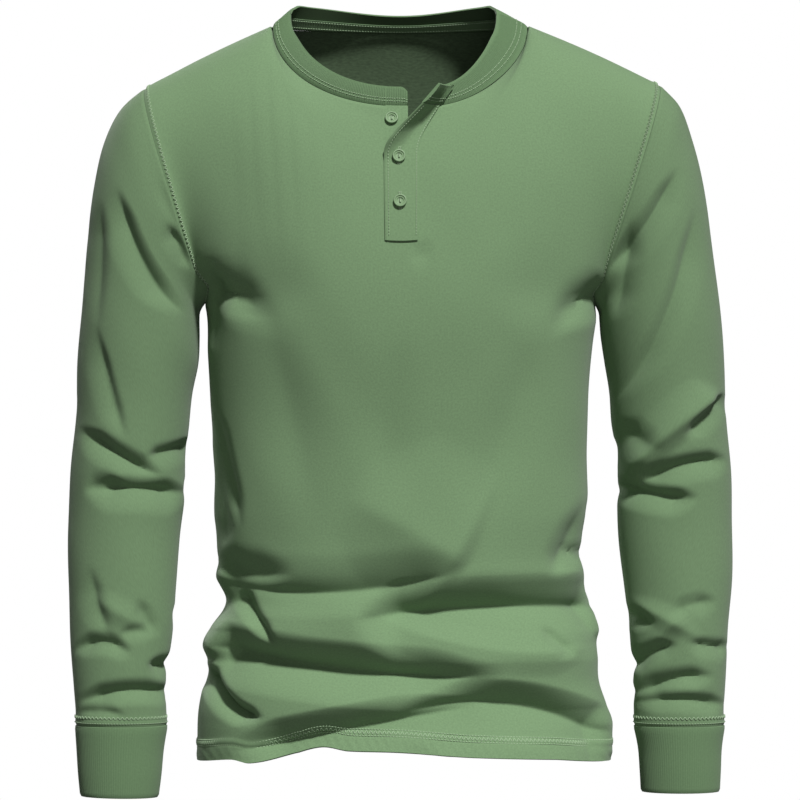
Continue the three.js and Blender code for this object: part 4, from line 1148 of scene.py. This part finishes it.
def buttonhole(name, x, z):
    """A bound upright slit that the button goes through: two rows of thread and a dark strip of painted
    shade between.
    """
    heights = np.arange(z - BUTTONHOLE["below"], z + BUTTONHOLE["above"], BUTTONHOLE["pitch"])
    rows = np.array([row_at(height) for height in heights])
    for side, shift in (("left", -BUTTONHOLE["half"]), ("right", BUTTONHOLE["half"])):
        u = np.full(rows.shape, column_at(x + shift))
        out = normals_of(flap_point, u, rows)
        across = np.broadcast_to([1.0, 0, 0], out.shape)
        belongs(stitches(f"{name}_hole_{side}", flap_point(u, rows), across, out, 1.5, 0.85), "cloth")
    u = np.array([column_at(x)])
    v = np.array([row_at(z)])
    out = normals_of(flap_point, u, v)
    upright = np.array([[0, 0, 1.0]])
    # A dark strip on the flap's face paints the shade inside the slit.
    painted_shade_gap = stitches(f"{name}_hole_painted_shade", flap_point(u, v), upright, out, BUTTONHOLE["slit"], 0.5, slit)
    belongs(painted_shade_gap, "cloth")


for name, x, z, on_flap in BUTTON_PLACES:
    button(name, x, z, on_flap)


# Armhole stitching
def armhole_rows():
    for side in ("front", "back"):
        for out, name in ((-1, "left"), (1, "right")):
            rows = spread(120, 1.04, 1.985)
            u = np.full(rows.shape, out * 0.982)
            surface = partial(panel_point, side)
            normal = normals_of(surface, u, rows, flip=side == "back")
            path = surface(u, rows) + normal * 0.75
            belongs(zigzag_row(f"armhole_{side}_{name}", path, normal, 2.0, 1.5, 0.85), "cloth")


armhole_rows()


# Floor, light and camera
FLOOR_Z = -1.41
FLOOR_RADIUS = 3.0
EYE = (0.0, -4.0, -0.3375)
LENS = 200
WHITE = (1, 1, 1, 1)
AMBIENT = 0.06
LIGHTS = [
    ("key", (1.1, -2.6, 3.55), 7, 3.58),
    ("fill", (0.3, -2.0, 0.2), 40, 0.3),
    ("back", (-1.4, 2.6, 1.3), 30, 1.3),
]


def studio():
    place = (0, 0, FLOOR_Z)
    bpy.ops.mesh.primitive_circle_add(vertices=96, radius=FLOOR_RADIUS, fill_type="NGON", location=place)
    floor = bpy.context.object
    floor.name = "floor"
    floor.data.materials.append(principled("floor", (0.12, 0.12, 0.12), 0.8)[0])
    world = bpy.data.worlds.new("studio")
    bpy.context.scene.world = world
    world.use_nodes = True
    tree = world.node_tree
    soft = tree.nodes["Background"]
    soft.inputs["Color"].default_value = WHITE
    soft.inputs["Strength"].default_value = AMBIENT
    white = node(tree, "Background", {"Color": WHITE, "Strength": 1.0})
    path = tree.nodes.new("ShaderNodeLightPath")
    choose = tree.nodes.new("ShaderNodeMixShader")
    link(tree, path, "Is Camera Ray", choose, 0)
    tree.links.new(soft.outputs[0], choose.inputs[1])
    tree.links.new(white.outputs[0], choose.inputs[2])
    tree.links.new(choose.outputs[0], tree.nodes["World Output"].inputs["Surface"])
    for name, toward, width, power in LIGHTS:
        sun(name, toward, width, power)
    camera = linked_object("camera", bpy.data.cameras.new("camera"))
    camera.data.lens = LENS
    camera.data.sensor_width = 36
    camera.location = EYE
    camera.rotation_euler = (math.radians(90), 0, 0)
    bpy.context.scene.camera = camera
    bpy.context.scene.view_settings.view_transform = "Standard"


def sun(name, toward, width, power):
    """A far light of an angular width in degrees; `toward` points from the shirt to it."""
    light = bpy.data.lights.new(name, "SUN")
    light.angle = math.radians(width)
    light.energy = power
    made = linked_object(name, light)
    made.rotation_euler = Vector(toward).to_track_quat("Z", "Y").to_euler()


studio()
